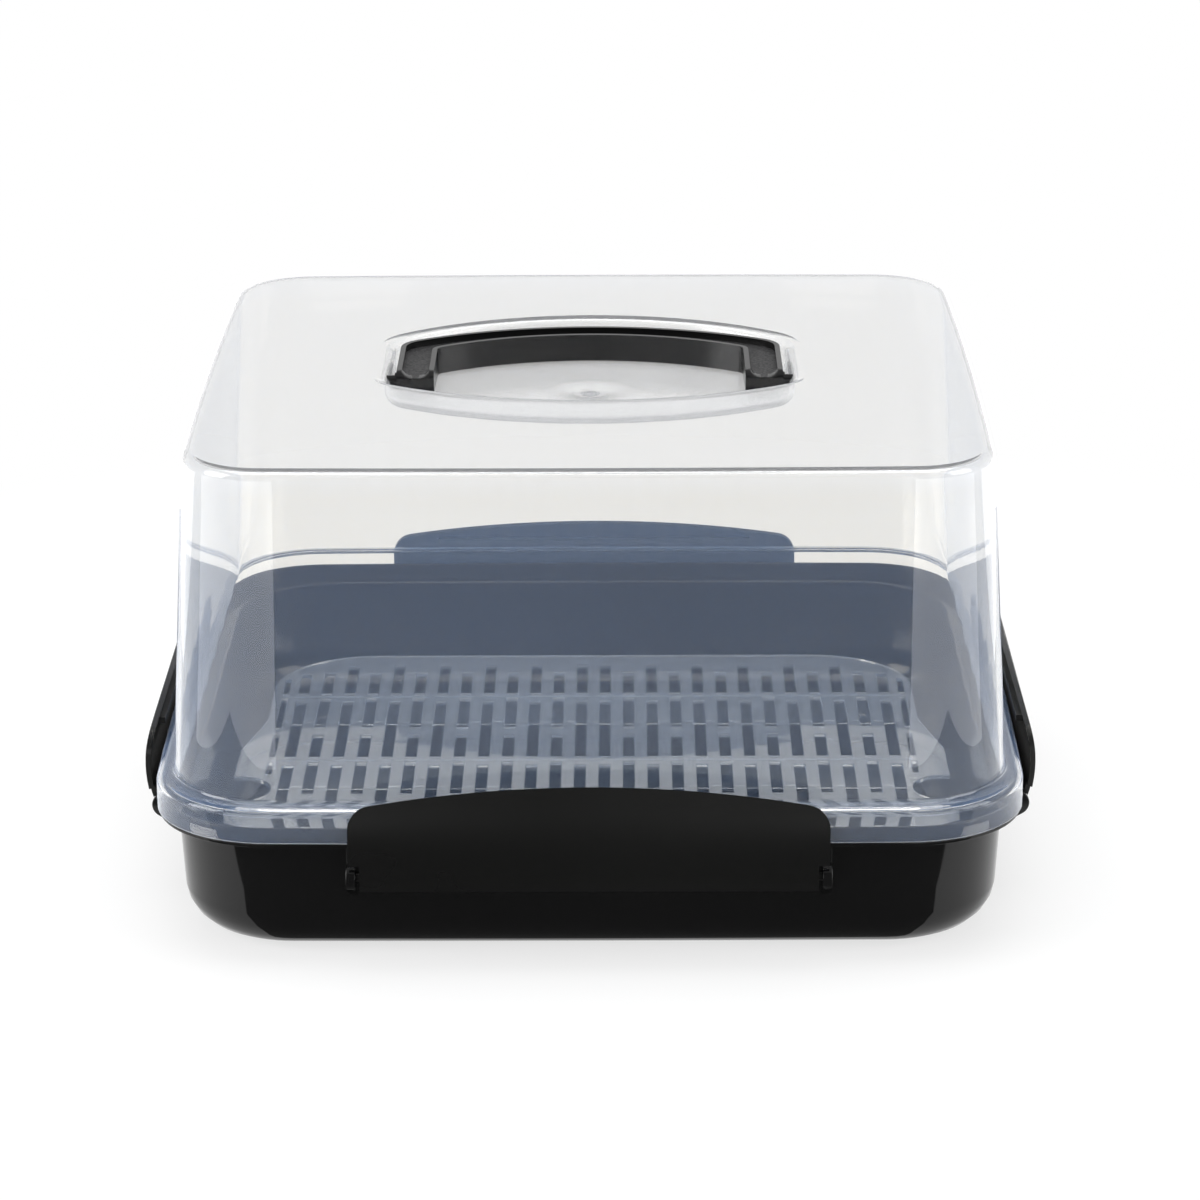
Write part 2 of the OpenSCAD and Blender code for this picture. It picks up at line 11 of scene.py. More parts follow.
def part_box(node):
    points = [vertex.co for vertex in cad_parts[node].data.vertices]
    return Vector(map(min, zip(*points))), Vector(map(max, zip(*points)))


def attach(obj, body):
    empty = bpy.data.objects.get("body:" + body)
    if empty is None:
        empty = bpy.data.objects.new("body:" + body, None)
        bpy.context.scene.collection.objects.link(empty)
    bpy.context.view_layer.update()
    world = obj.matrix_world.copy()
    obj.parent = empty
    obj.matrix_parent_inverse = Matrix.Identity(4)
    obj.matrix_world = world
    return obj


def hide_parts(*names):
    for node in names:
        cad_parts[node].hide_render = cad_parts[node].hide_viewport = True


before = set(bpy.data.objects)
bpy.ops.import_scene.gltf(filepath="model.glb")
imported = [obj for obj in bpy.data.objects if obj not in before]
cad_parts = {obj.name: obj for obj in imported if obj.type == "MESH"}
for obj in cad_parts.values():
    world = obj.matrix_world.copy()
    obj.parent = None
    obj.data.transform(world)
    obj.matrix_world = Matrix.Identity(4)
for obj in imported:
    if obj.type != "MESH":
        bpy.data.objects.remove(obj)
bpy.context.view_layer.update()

bl_info = {
    "name": "Cake carrier",
    "version": (1, 0, 0),
    "blender": (4, 5, 0),
    "location": "3D View > Sidebar > Carrier",
    "description": "Builds the dressed pieces of a square cake carrier and its studio",
    "category": "Object",
}

MM = 0.001
CORNER_STEPS = 16
SIDE_STEPS = 8
APART = 9.0  # how far above the object an outline is drawn before it is brought down, in metres
TIGHT = 1e-6
LID_LOW, LID_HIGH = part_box("lid")
LID_TOP = LID_HIGH.z
TUB_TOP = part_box("tub")[1].z

# Lug: how deep its root stands in the wall and the ledge, its slant, and its pin hole
LUG_SINK, LUG_TOP_SINK, LUG_SLANT, LUG_ROOT, PIN_HOLE = 1.0 * MM, 0.8 * MM, 1.4 * MM, 11.5 * MM, 1.85 * MM
# Recess for the handle: its front and rear ends, and how far down the flare of its mouth and its edge reach
RECESS_FRONT, RECESS_REAR, RECESS_NECK, RECESS_LIP = -53.5 * MM, 75.5 * MM, 3.2 * MM, 2.9 * MM
# Handle: the run of the underside's taper and its rise, and how far behind the pivot line the scoops reach
TAPER_RUN, TAPER_RISE, SCOOP_RUN = 26 * MM, 1.9 * MM, 1.6 * MM
# Clip: catch rib
CATCH_HALF, CATCH_RISE, CATCH_HEIGHT, CATCH_OUT, CATCH_IN = 68 * MM, 15.1 * MM, 2.4 * MM, 3.6 * MM, 0.5 * MM
# Tray: ribs, gaps between slots, ties, and the narrow slots at the edge
RIB_HALF, RIB_WALL, RIB_FOOT, RIB_GAP = 131 * MM, 1.1 * MM, 2.3 * MM, 3 * MM
TIE_PLACE, TIE_HALF, SLOT_END, SLOT_LEAST, EDGE_SLOT = 34 * MM, 4.5 * MM, 4 * MM, 8 * MM, 2.6 * MM

WHITE = (1.0, 1.0, 1.0, 1.0)
PLASTIC_IOR = 1.49
GRAIN_DEPTH = 0.0002
VEIL_COLOUR, VEIL_SPAN = (0.66, 0.68, 0.74, 1.0), (0.74, 0.94)
SHADOW_TINT = (0.90, 0.91, 0.92, 1.0)

# Studio, in metres: floor, surround, lights, and the cards that glow only for gloss to paint reflections
FLOOR_HALF, FLOOR_PLACE, FLOOR_FADE = 6.0, (0, 2.0, -0.0002), (0.20, 0.55)
SURROUND_SPAN = (0.05, 0.6)
TOP_LIGHT_PLACE, TOP_LIGHT_SIZE = (0.0, 0.25, 1.7), (1.7, 1.3)
SIDE_LIGHT_PLACE, SIDE_LIGHT_SIZE, RIGHT_LIGHT_SHARE = (1.5, -0.55, 0.75), (0.9, 1.2), 0.6
LIGHT_TARGET = (0, 0, 0.08)
CARD_HEIGHT, CARD_RISE = 0.0004, 1.3
# Outlines of the cards that glow only for gloss: a painted dark reflection, which also reaches under the tub's foot
# where the floor lies in shade, and painted bright reflections.
DARK_REFLECTION_CARD = ((0.118, 0.146), (0.165, 0.176), (0.300, 0.215), (0.300, 0.300), (0.152, 0.450), (0.271, 1.400))
BRIGHT_REFLECTION_CARD = ((0.152, 0.450), (0.271, 1.400), (1.400, 1.400), (1.400, 0.100), (0.420, 0.100), (0.420, 0.400))
# Camera: lens and place in millimetres; lift, roll and turn in degrees
CAMERA_LENS, CAMERA_PLACE, CAMERA_ANGLES = 126.672, (13.10, -1603.63, 611.79), (18.083, -0.2746, -0.343)


def length(name, text, value):
    """A size that a user can change, in metres."""
    return FloatProperty(name=name, description=text, default=value, min=0.0, unit="LENGTH", subtype="DISTANCE")


def colour(name, text, value):
    """A colour that a user can change."""
    return FloatVectorProperty(name=name, description=text, default=value, size=3, min=0.0, max=1.0, subtype="COLOR")


def share(name, text, value):
    """A share from 0 to 1 that a user can change."""
    return FloatProperty(name=name, description=text, default=value, min=0.0, max=1.0, subtype="FACTOR")


class TubSizes(bpy.types.PropertyGroup):
    foot_half: length("Foot half width", "Half the tub's width, were its foot not rounded", 153.0 * MM)
    foot_round: length("Foot rounding", "Radius of the foot's edge", 15.0 * MM)
    wall_half: length("Wall half width", "Half the tub's width under the ledge", 155.8 * MM)
    wall_corner: length("Wall corner", "Radius of the upright corners under the ledge", 44.9 * MM)
    wall_bow: length("Wall bow", "How far the sides of the tub bow out", 0.4 * MM)
    wall: length("Wall thickness", "Thickness of the tub's wall and floor", 2.0 * MM)
    height: length("Wall height", "Height of the ledge's underside", 45.7 * MM)
    ledge_half: length("Ledge half width", "Half the width over the ledge", 163.0 * MM)
    ledge_corner: length("Ledge corner", "Radius of the ledge's corners", 45.0 * MM)
    ledge_bow: length("Ledge bow", "How far the ledge's sides bow out", 1.2 * MM)
    ledge_top: length("Ledge top", "Height of the ledge's top", 47.3 * MM)
    rim_half: length("Upstand half width", "Half the width over the upstand", 161.5 * MM)
    rim: length("Upstand thickness", "Thickness of the upstand", 1.9 * MM)
    lug_at: length("Lug place", "Distance of each lug from the middle of its side", 87.3 * MM)
    lug_t: length("Lug thickness", "Thickness of each lug", 3.6 * MM)
    lug_r: length("Lug eye", "Radius of the lug's eye", 5.0 * MM)
    hinge_at: length("Hinge place", "Distance of a hinge line from the middle", 163.2 * MM)
    hinge_z: length("Hinge height", "Height of the hinge lines", 35.0 * MM)
    plastic: colour("Tub plastic", "Colour of the black tub", (0.0035, 0.0035, 0.0036))
    gloss: share("Tub roughness", "Roughness of the tub's polished faces", 0.07)


class LidSizes(bpy.types.PropertyGroup):
    flange_half: length("Flange half width", "Half the width over the lid's flange", LID_HIGH.x)
    flange_corner: length("Flange corner", "Radius of the flange's corners", 45.7 * MM)
    skirt_z: length("Skirt height", "Height of the flange's lower edge", LID_LOW.z)
    shoulder_z: length("Shoulder height", "Height of the flange's shoulder", 60.5 * MM)
    shoulder_round: length("Shoulder rounding", "Radius of the shoulder's outer edge", 3.0 * MM)
    foot_half: length("Wall foot half width", "Half the width over the walls at the shoulder", 157.0 * MM)
    top_half: length("Top half width", "Half the width over the walls at the top", 150.0 * MM)
    top_corner: length("Top corner", "Radius of the upright corners at the top", 31.0 * MM)
    top_round: length("Top rounding", "Radius of the top edge", 4.0 * MM)
    bow: length("Side bow", "How far the sides bow out", 1.2 * MM)
    wall: length("Wall thickness", "Thickness of the lid", 1.8 * MM)
    recess_half: length("Recess half width", "Half the width of the handle's recess", 77.8 * MM)
    recess_depth: length("Recess depth", "Depth of the handle's recess", 10.4 * MM)
    recess_flare: length("Recess flare", "How much wider the recess is at its mouth, at each end", 3.0 * MM)
    recess_round: length("Recess rounding", "Radius of the recess's rim and of its floor's edge", 3.4 * MM)
    dish_half: length("Dish half width", "Radius of the soft dish in the recess floor", 13.0 * MM)
    plastic: colour("Lid plastic", "Colour of the clear lid", (1.0, 0.972, 0.905))
    haze: colour("Lid haze", "Colour of the milky haze in the plastic", (0.36, 0.55, 0.95))
    # Painted light: the lid's top gets a paler, more neutral plastic and haze than its walls, standing in for how the
    # top is lit.
    painted_top_plastic: colour("Painted top plastic", "Colour of the plastic in the lid's top", (0.968, 0.968, 0.968))
    painted_top_haze: colour("Painted top haze", "Colour of the milky haze in the lid's top", (0.80, 0.81, 0.83))
    milk: share("Milkiness", "How much of the lid's plastic scatters light", 0.055)
    gloss: share("Lid roughness", "Roughness of the lid's faces", 0.005)
    frost: share("Recess roughness", "Roughness of the recess for the handle", 0.17)


class HandleSizes(bpy.types.PropertyGroup):
    half: length("Half width", "Half the width over the handle", 75.2 * MM)
    leg: length("Leg width", "Width of each leg", 14.6 * MM)
    low: length("Underside", "Height of the folded handle's underside", 176.2 * MM)
    high: length("Top", "Height of the folded handle's top", 186.9 * MM)
    pivot_y: FloatProperty(name="Pivot place", description="Where the pivot line is", default=-12.0 * MM, unit="LENGTH")
    pivot_z: length("Pivot height", "Height of the pivot line", 182.5 * MM)
    nose: length("Leg end", "Radius of the rounded leg ends", 4.4 * MM)
    reach: length("Reach", "From the pivot line to the grip's outer edge", 66.4 * MM)
    grip: length("Grip width", "Width of the grip at its middle", 13.8 * MM)
    rim: length("Rim", "Width of the rim around the channel", 2.0 * MM)
    channel: length("Channel", "Depth of the channel", 2.6 * MM)
    plastic: colour("Handle plastic", "Colour of the black handle", (0.0035, 0.0035, 0.0036))
    gloss: share("Handle roughness", "Roughness of the handle's polished faces", 0.16)


class ClipSizes(bpy.types.PropertyGroup):
    half: length("Half length", "Half the length of a clip", 88.0 * MM)
    foot_half: length("Foot half length", "Half the length of the clip's foot", 84.0 * MM)
    rise: length("Rise", "Height of the arch above the hinge line", 35.8 * MM)
    arch: length("Arch", "How much lower the top edge is at its ends", 7.7 * MM)
    bow: length("Bow", "How far the face bows out", 3.3 * MM)
    thickness: length("Thickness", "Thickness of the face", 2.0 * MM)
    corner: length("Corner", "Radius of the upper corners", 9.0 * MM)
    barrel: length("Barrel", "Radius of the barrel along the foot", 4.4 * MM)
    pin: length("Pin", "Radius of the pins", 1.8 * MM)
    plastic: colour("Clip plastic", "Colour of the black clips", (0.0030, 0.0030, 0.0028))
    gloss: share("Clip roughness", "Roughness of the clips", 0.30)


class TraySizes(bpy.types.PropertyGroup):
    half: length("Half width", "Half the width over the wings", 145.7 * MM)
    neck: length("Neck half width", "Half the width in front of and behind the wings", 136.2 * MM)
    corner: length("Corner", "Radius of the tray's corners", 42.0 * MM)
    low: length("Underside", "Height of the tray's underside", 13.6 * MM)
    thickness: length("Thickness", "Thickness of the tray", 1.8 * MM)
    pitch: length("Slot pitch", "Distance between slots", 9.9 * MM)
    slot: length("Slot width", "Width of a slot", 4.6 * MM)
    rib_pitch: length("Rib pitch", "Distance between the cross ribs", 78.0 * MM)
    rib_y: length("Rib place", "Distance of the middle rib behind the tray's middle", 15.0 * MM)
    plastic: colour("Tray plastic", "Colour of the clear tray", (0.93, 0.94, 0.95))
    haze: colour("Tray haze", "Colour of the milky haze in the tray", (0.60, 0.68, 0.82))
    milk: share("Milkiness", "How much of the tray's plastic scatters light", 0.065)
    gloss: share("Tray roughness", "Roughness of the tray", 0.03)


class StudioSizes(bpy.types.PropertyGroup):
    floor: colour("Floor", "Colour of the floor", (0.90, 0.90, 0.90))
    key: FloatProperty(name="Top light", description="Power of the overhead light", default=26.0, unit="POWER")
    side: FloatProperty(name="Side lights", description="Power of each side light", default=17.0, unit="POWER")
    air: share("Surround", "Brightness of the surround that lights the object", 0.45)
    low: share("Surround low", "Brightness of the surround low down, as gloss and glass show it", 0.80)
    above: share("Surround above", "Brightness of the surround high up, as gloss and glass show it", 0.496)
    # The cards are painted reflections: sheets that glow only for gloss and light nothing.
    dark: share("Dark cards", "Brightness of the dark cards that the gloss shows", 0.13)
    pale: FloatProperty(name="Pale cards", description="Brightness of the pale cards that the gloss shows", default=3.0)
    shine: share("Floor white", "How much of the floor near the object shows plain white", 0.72)


# ---- Shaping ----


def bowed_loop(bm, half, corner, bow):
    """Draws a square edge loop with rounded corners and bowed sides, and returns its edges."""
    made = bmesh.ops.create_grid(bm, x_segments=1, y_segments=1, size=half)
    bmesh.ops.bevel(bm, geom=made["verts"], offset=corner, offset_type="OFFSET", segments=CORNER_STEPS,
                    profile=0.5, affect="VERTICES", material=-1)
    straight = [e for e in bm.faces[:][0].edges if e.calc_length() > half / 2]
    bmesh.ops.subdivide_edges(bm, edges=straight, cuts=SIDE_STEPS - 1)
    face = bm.faces[:][0]
    verts, edges = list(face.verts), list(face.edges)
    bmesh.ops.delete(bm, geom=[face], context="FACES_ONLY")
    reach = half - corner
    for v in verts:
        x, y = v.co.x, v.co.y
        if abs(x) > reach - TIGHT:
            v.co.x = x - math.copysign(bow * min(1.0, abs(y) / reach) ** 2, x)
        if abs(y) > reach - TIGHT:
            v.co.y = y - math.copysign(bow * min(1.0, abs(x) / reach) ** 2, y)
    return edges


def set_height(edges, z):
    """Moves a loop to a height."""
    for v in {v for e in edges for v in e.verts}:
        v.co.z = z


def join_loops(bm, loops, heights):
    """Bridges each loop to the next, one above the other, and then sets each to its height."""
    for step, edges in enumerate(loops):
        set_height(edges, step * 0.1)
    for low, high in zip(loops, loops[1:]):
        bmesh.ops.bridge_loops(bm, edges=low + high)
    for edges, z in zip(loops, heights):
        set_height(edges, z)


def round_loops(bm, loops, radii, steps=5):
    """Rounds the edge along each loop by its radius."""
    for edges, radius in zip(loops, radii):
        if radius:
            bmesh.ops.bevel(bm, geom=edges, offset=radius, offset_type="OFFSET", segments=steps, profile=0.5,
                            affect="EDGES", clamp_overlap=True, material=-1)


def cap(bm, edges):
    """Closes a loop with one flat face, and returns it."""
    return bmesh.ops.edgeloop_fill(bm, edges=edges)["faces"][0]


def arc(bm, vert, centre, degrees, steps, axis=(0, 0, 1)):
    """Swings a vertex about a centre, drawing an arc, and returns the arc's last vertex."""
    made = bmesh.ops.spin(bm, geom=[vert], cent=centre, axis=axis, angle=math.radians(degrees), steps=steps)
    return next(g for g in made["geom_last"] if isinstance(g, bmesh.types.BMVert))


def line(bm, vert, place):
    """Draws a straight edge from a vertex to a place, and returns its end."""
    end = bmesh.ops.extrude_vert_indiv(bm, verts=[vert])["verts"][0]
    end.co = place
    return end


def mirrored(bm):
    """Mirrors the half outline that was drawn apart, closing it across the middle plane."""
    fresh = [v for v in bm.verts if v.co.z > APART / 2]
    bmesh.ops.mirror(bm, geom=fresh + edges_of(fresh), matrix=Matrix.Identity(4), merge_dist=TIGHT, axis="X")


def unique(items):
    """Drops repeats and keeps the order, so that every run builds the same mesh."""
    return list(dict.fromkeys(items))


def edges_of(verts):
    """The edges that meet at some points."""
    return unique(e for v in verts for e in v.link_edges)


def settled(bm):
    """Brings what was drawn apart down to its place, and returns its points and its edges."""
    fresh = [v for v in bm.verts if v.co.z > APART / 2]
    bmesh.ops.translate(bm, verts=fresh, vec=(0, 0, -APART))
    return fresh, edges_of(fresh)


def raised(bm, faces, offset, pocket=False):
    """Pulls faces out by an offset, or sinks a pocket into a solid, and returns the moved faces."""
    made = bmesh.ops.extrude_face_region(bm, geom=faces)["geom"]
    if pocket:
        bmesh.ops.delete(bm, geom=faces, context="FACES")
    bmesh.ops.translate(bm, verts=[g for g in made if isinstance(g, bmesh.types.BMVert)], vec=offset)
    return [g for g in made if isinstance(g, bmesh.types.BMFace)]


def outward(bm):
    """Merges doubled points and turns every face outwards."""
    bmesh.ops.remove_doubles(bm, verts=bm.verts, dist=TIGHT)
    bmesh.ops.recalc_face_normals(bm, faces=bm.faces)


def sliced(bm, place, normal, near=None, dist=TIGHT):
    """Divides the faces near a place, or all faces, along a plane."""
    if near is None:
        geom = list(bm.verts) + list(bm.edges) + list(bm.faces)
    else:
        geom = near + unique(e for f in near for e in f.edges) + unique(v for f in near for v in f.verts)
    bmesh.ops.bisect_plane(bm, geom=geom, dist=dist, plane_co=place, plane_no=normal)


def turned(bm, verts, quarters):
    """Turns points about the upright axis by quarter turns."""
    turn = Matrix.Rotation(quarters * math.pi / 2, 3, "Z")
    bmesh.ops.rotate(bm, verts=verts, cent=(0, 0, 0), matrix=turn)


def top_face(bm):
    """The largest of the highest faces."""
    return max(bm.faces, key=lambda f: (round(f.calc_center_median().z, 6), f.calc_area()))


def flip_to_face_up(bm):
    """Turns an open shell over if its top faces down."""
    if top_face(bm).normal.z < 0:
        bmesh.ops.reverse_faces(bm, faces=bm.faces)


def bar(bm, low, high):
    """Adds a closed bar between two corners."""
    verts = bmesh.ops.create_cube(bm, size=1.0)["verts"]
    low, high = Vector(low), Vector(high)
    bmesh.ops.scale(bm, verts=verts, vec=high - low)
    bmesh.ops.translate(bm, verts=verts, vec=(low + high) / 2)


def rod(bm, middle, radius, span, steps=32):
    """Adds a closed rod that lies along X."""
    made = bmesh.ops.create_cone(bm, cap_ends=True, segments=steps, radius1=radius, radius2=radius, depth=span)
    verts = made["verts"]
    bmesh.ops.rotate(bm, verts=verts, cent=(0, 0, 0), matrix=Matrix.Rotation(math.pi / 2, 3, "Y"))
    bmesh.ops.translate(bm, verts=verts, vec=middle)


def new_object(bm, name):
    """Makes an object of a finished bmesh."""
    mesh = bpy.data.meshes.new(name)
    bm.to_mesh(mesh)
    bm.free()
    obj = bpy.data.objects.new(name, mesh)
    bpy.context.scene.collection.objects.link(obj)
    return obj


def piece(bm, name, body, node, material, crease=38, bevel=0.0, shell=0.0):
    """Makes the piece that stands in for a CAD node, gives it its plastic and lets it ride on its body."""
    obj = new_object(bm, name)
    mesh = obj.data
    mesh.polygons.foreach_set("use_smooth", [True] * len(mesh.polygons))
    mesh.set_sharp_from_angle(angle=math.radians(crease))
    mesh.materials.append(material)
    if shell:
        wall = obj.modifiers.new("Wall", "SOLIDIFY")
        wall.thickness, wall.offset, wall.use_even_offset = shell, -1.0, True
    if bevel:
        edge = obj.modifiers.new("Edges", "BEVEL")
        edge.width, edge.segments, edge.limit_method = bevel, 3, "ANGLE"
        edge.angle_limit, edge.use_clamp_overlap = math.radians(crease), True
    flats = obj.modifiers.new("Flat faces", "WEIGHTED_NORMAL")
    flats.keep_sharp, flats.weight = True, 60
    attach(obj, body)
    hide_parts(node)
    return obj


# ---- Plastics ----


def feed(tree, node, feeds):
    """Links outputs to a node's sockets or sets these to plain values, and returns the node."""
    for label, value in feeds.items():
        if isinstance(value, bpy.types.NodeSocket):
            tree.links.new(value, node.inputs[label])
        else:
            node.inputs[label].default_value = value
    return node


def add_node(tree, kind, feeds=None, **settings):
    """Adds a shader node with its settings, and feeds its sockets."""
    node = tree.nodes.new("ShaderNode" + kind)
    for label, value in settings.items():
        setattr(node, label, value)
    return feed(tree, node, feeds or {})


def object_place(tree):
    """The place on a piece, in the object's own frame."""
    return add_node(tree, "TexCoord").outputs["Object"]


def noise(tree, vector, scale, detail):
    """A noise texture that reads a vector."""
    return add_node(tree, "TexNoise", {"Vector": vector, "Scale": scale, "Detail": detail}).outputs["Fac"]


def mapped(tree, value, low, high, to_low, to_high):
    """Maps a value from one range to another. The ends may be sockets or numbers."""
    ends = {"Value": value, "From Min": low, "From Max": high, "To Min": to_low, "To Max": to_high}
    return add_node(tree, "MapRange", ends).outputs["Result"]


def maths(tree, operation, first, second):
    """Works out one value from two."""
    return add_node(tree, "Math", {0: first, 1: second}, operation=operation).outputs["Value"]


def mixed_colours(tree, amount, first, second):
    """Mixes two colours."""
    return add_node(tree, "Mix", {"Factor": amount, 6: first, 7: second}, data_type="RGBA").outputs[2]


def mixed(tree, amount, first, second):
    """Mixes two shaders."""
    return add_node(tree, "MixShader", {0: amount, 1: first, 2: second}).outputs["Shader"]


def group_of(name, inputs, outputs):
    """Starts a shader node group with named sockets, and returns it with its inputs and its last node."""
    group = bpy.data.node_groups.new(name, "ShaderNodeTree")
    for label, value in inputs.items():
        kind = "NodeSocketColor" if isinstance(value, tuple) else "NodeSocketFloat"
        group.interface.new_socket(name=label, in_out="INPUT", socket_type=kind).default_value = value
    for label, kind in outputs.items():
        group.interface.new_socket(name=label, in_out="OUTPUT", socket_type=kind)
    return group, group.nodes.new("NodeGroupInput").outputs, group.nodes.new("NodeGroupOutput")


def moulded_finish():
    """Group: roughness that wanders between two values, and the fine grain of a moulded face."""
    group, given, out = group_of(
        "Moulded finish", {"Patch Scale": 9.0, "Grain Scale": 1400.0, "Smooth": 0.1, "Rough": 0.2},
        {"Roughness": "NodeSocketFloat", "Height": "NodeSocketFloat"})
    place = object_place(group)
    patch = noise(group, place, given["Patch Scale"], 3.0)
    grain = noise(group, place, given["Grain Scale"], 2.0)
    feed(group, out, {"Roughness": mapped(group, patch, 0.3, 0.7, given["Smooth"], given["Rough"]), "Height": grain})
    return group


def flow_tint():
    """Group: the slow drift of colour in moulded plastic, between two colours."""
    group, given, out = group_of(
        "Flow tint", {"Colour": WHITE, "Drift Colour": WHITE, "Scale": 5.0}, {"Colour": "NodeSocketColor"})
    drift = mapped(group, noise(group, object_place(group), given["Scale"], 2.0), 0.35, 0.65, 0.0, 1.0)
    feed(group, out, {"Colour": mixed_colours(group, drift, given["Colour"], given["Drift Colour"])})
    return group


def painted_light_by_height():
    """Group: painted light by height, a colour that turns from one tone low down to another high up; the paler upper
    tone stands in for how light falls on the top.
    """
    group, given, out = group_of(
        "Painted light by height", {"Low Colour": WHITE, "High Colour": WHITE, "Low Height": 0.0, "High Height": 1.0},
        {"Colour": "NodeSocketColor"})
    height = add_node(group, "SeparateXYZ", {"Vector": object_place(group)}).outputs["Z"]
    amount = mapped(group, height, given["Low Height"], given["High Height"], 0.0, 1.0)
    feed(group, out, {"Colour": mixed_colours(group, amount, given["Low Colour"], given["High Colour"])})
    return group


GROUPS = {}


def placed(tree, maker, values):
    """Adds a node group with its own values, and returns its outputs. A group is built when first asked for."""
    if maker not in GROUPS:
        GROUPS[maker] = maker()
    return add_node(tree, "Group", values, node_tree=GROUPS[maker]).outputs


def new_material(name):
    """An empty material, and its node tree."""
    material = bpy.data.materials.new(name)
    material.use_nodes = True
    return material, material.node_tree


def plastic(name, tone, drift, smooth, rough, grain_scale=1400.0, grain=0.0, patch=9.0, drift_scale=5.0):
    """A moulded plastic: colour that drifts a little, wandering gloss and a fine grain."""
    material, tree = new_material(name)
    tint = placed(tree, flow_tint, {"Colour": (*tone, 1.0), "Drift Colour": (*drift, 1.0), "Scale": drift_scale})
    finish = placed(tree, moulded_finish,
                    {"Patch Scale": patch, "Grain Scale": grain_scale, "Smooth": smooth, "Rough": rough})
    feeds = {"IOR": PLASTIC_IOR, "Base Color": tint["Colour"], "Roughness": finish["Roughness"]}
    if grain:
        bump = add_node(tree, "Bump", {"Strength": grain, "Distance": GRAIN_DEPTH, "Height": finish["Height"]})
        feeds["Normal"] = bump.outputs["Normal"]
    feed(tree, tree.nodes["Principled BSDF"], feeds)
    return material


def painted_by_height(tree, low, high, heights):
    """Turns a colour into another one between two heights: painted light, where the upper tone stands in for how the
    top is lit.
    """
    ends = {"Low Colour": low, "High Colour": (*high, 1.0), "Low Height": heights[0], "High Height": heights[1]}
    return placed(tree, painted_light_by_height, ends)["Colour"]


def clear_plastic(name, tone, haze, milk, smooth, rough, veil=0.0, high=None):
    """A clear plastic with a milky haze, whose shadow lets most of the light through.

    The veil is how strong the pale sheen of milky plastic gets at glancing angles. high gives the paler tone and haze
    painted on the upper parts, which is painted light for how the top is lit, and the heights between which they set
    in.
    """
    material = plastic(name, tone, [0.985 * c for c in tone], smooth, rough, patch=6.0)
    tree = material.node_tree
    clear = feed(tree, tree.nodes["Principled BSDF"], {"Transmission Weight": 1.0})
    hazy = [0.9 * c for c in haze]
    milky = placed(tree, flow_tint, {"Colour": (*haze, 1.0), "Drift Colour": (*hazy, 1.0)})["Colour"]
    # Painted light: above the given heights the plastic and its haze are painted paler and more neutral, for how the
    # top is lit.
    if high:
        top, painted_top_haze, heights = high
        feed(tree, clear, {"Base Color": painted_by_height(tree, clear.inputs["Base Color"].links[0].from_socket, top, heights)})
        milky = painted_by_height(tree, milky, painted_top_haze, heights)
    haze_shader = add_node(tree, "BsdfDiffuse", {"Color": milky})
    body = mixed(tree, milk, clear.outputs["BSDF"], haze_shader.outputs["BSDF"])
    if veil:
        facing = add_node(tree, "LayerWeight").outputs["Facing"]
        pale = add_node(tree, "BsdfDiffuse", {"Color": VEIL_COLOUR})
        body = mixed(tree, mapped(tree, facing, *VEIL_SPAN, 0.0, veil), body, pale.outputs["BSDF"])
    shadow = add_node(tree, "LightPath").outputs["Is Shadow Ray"]
    through = add_node(tree, "BsdfTransparent", {"Color": SHADOW_TINT})
    shown = mixed(tree, shadow, body, through.outputs["BSDF"])
    feed(tree, tree.nodes["Material Output"], {"Surface": shown})
    return material


# ---- Pieces ----


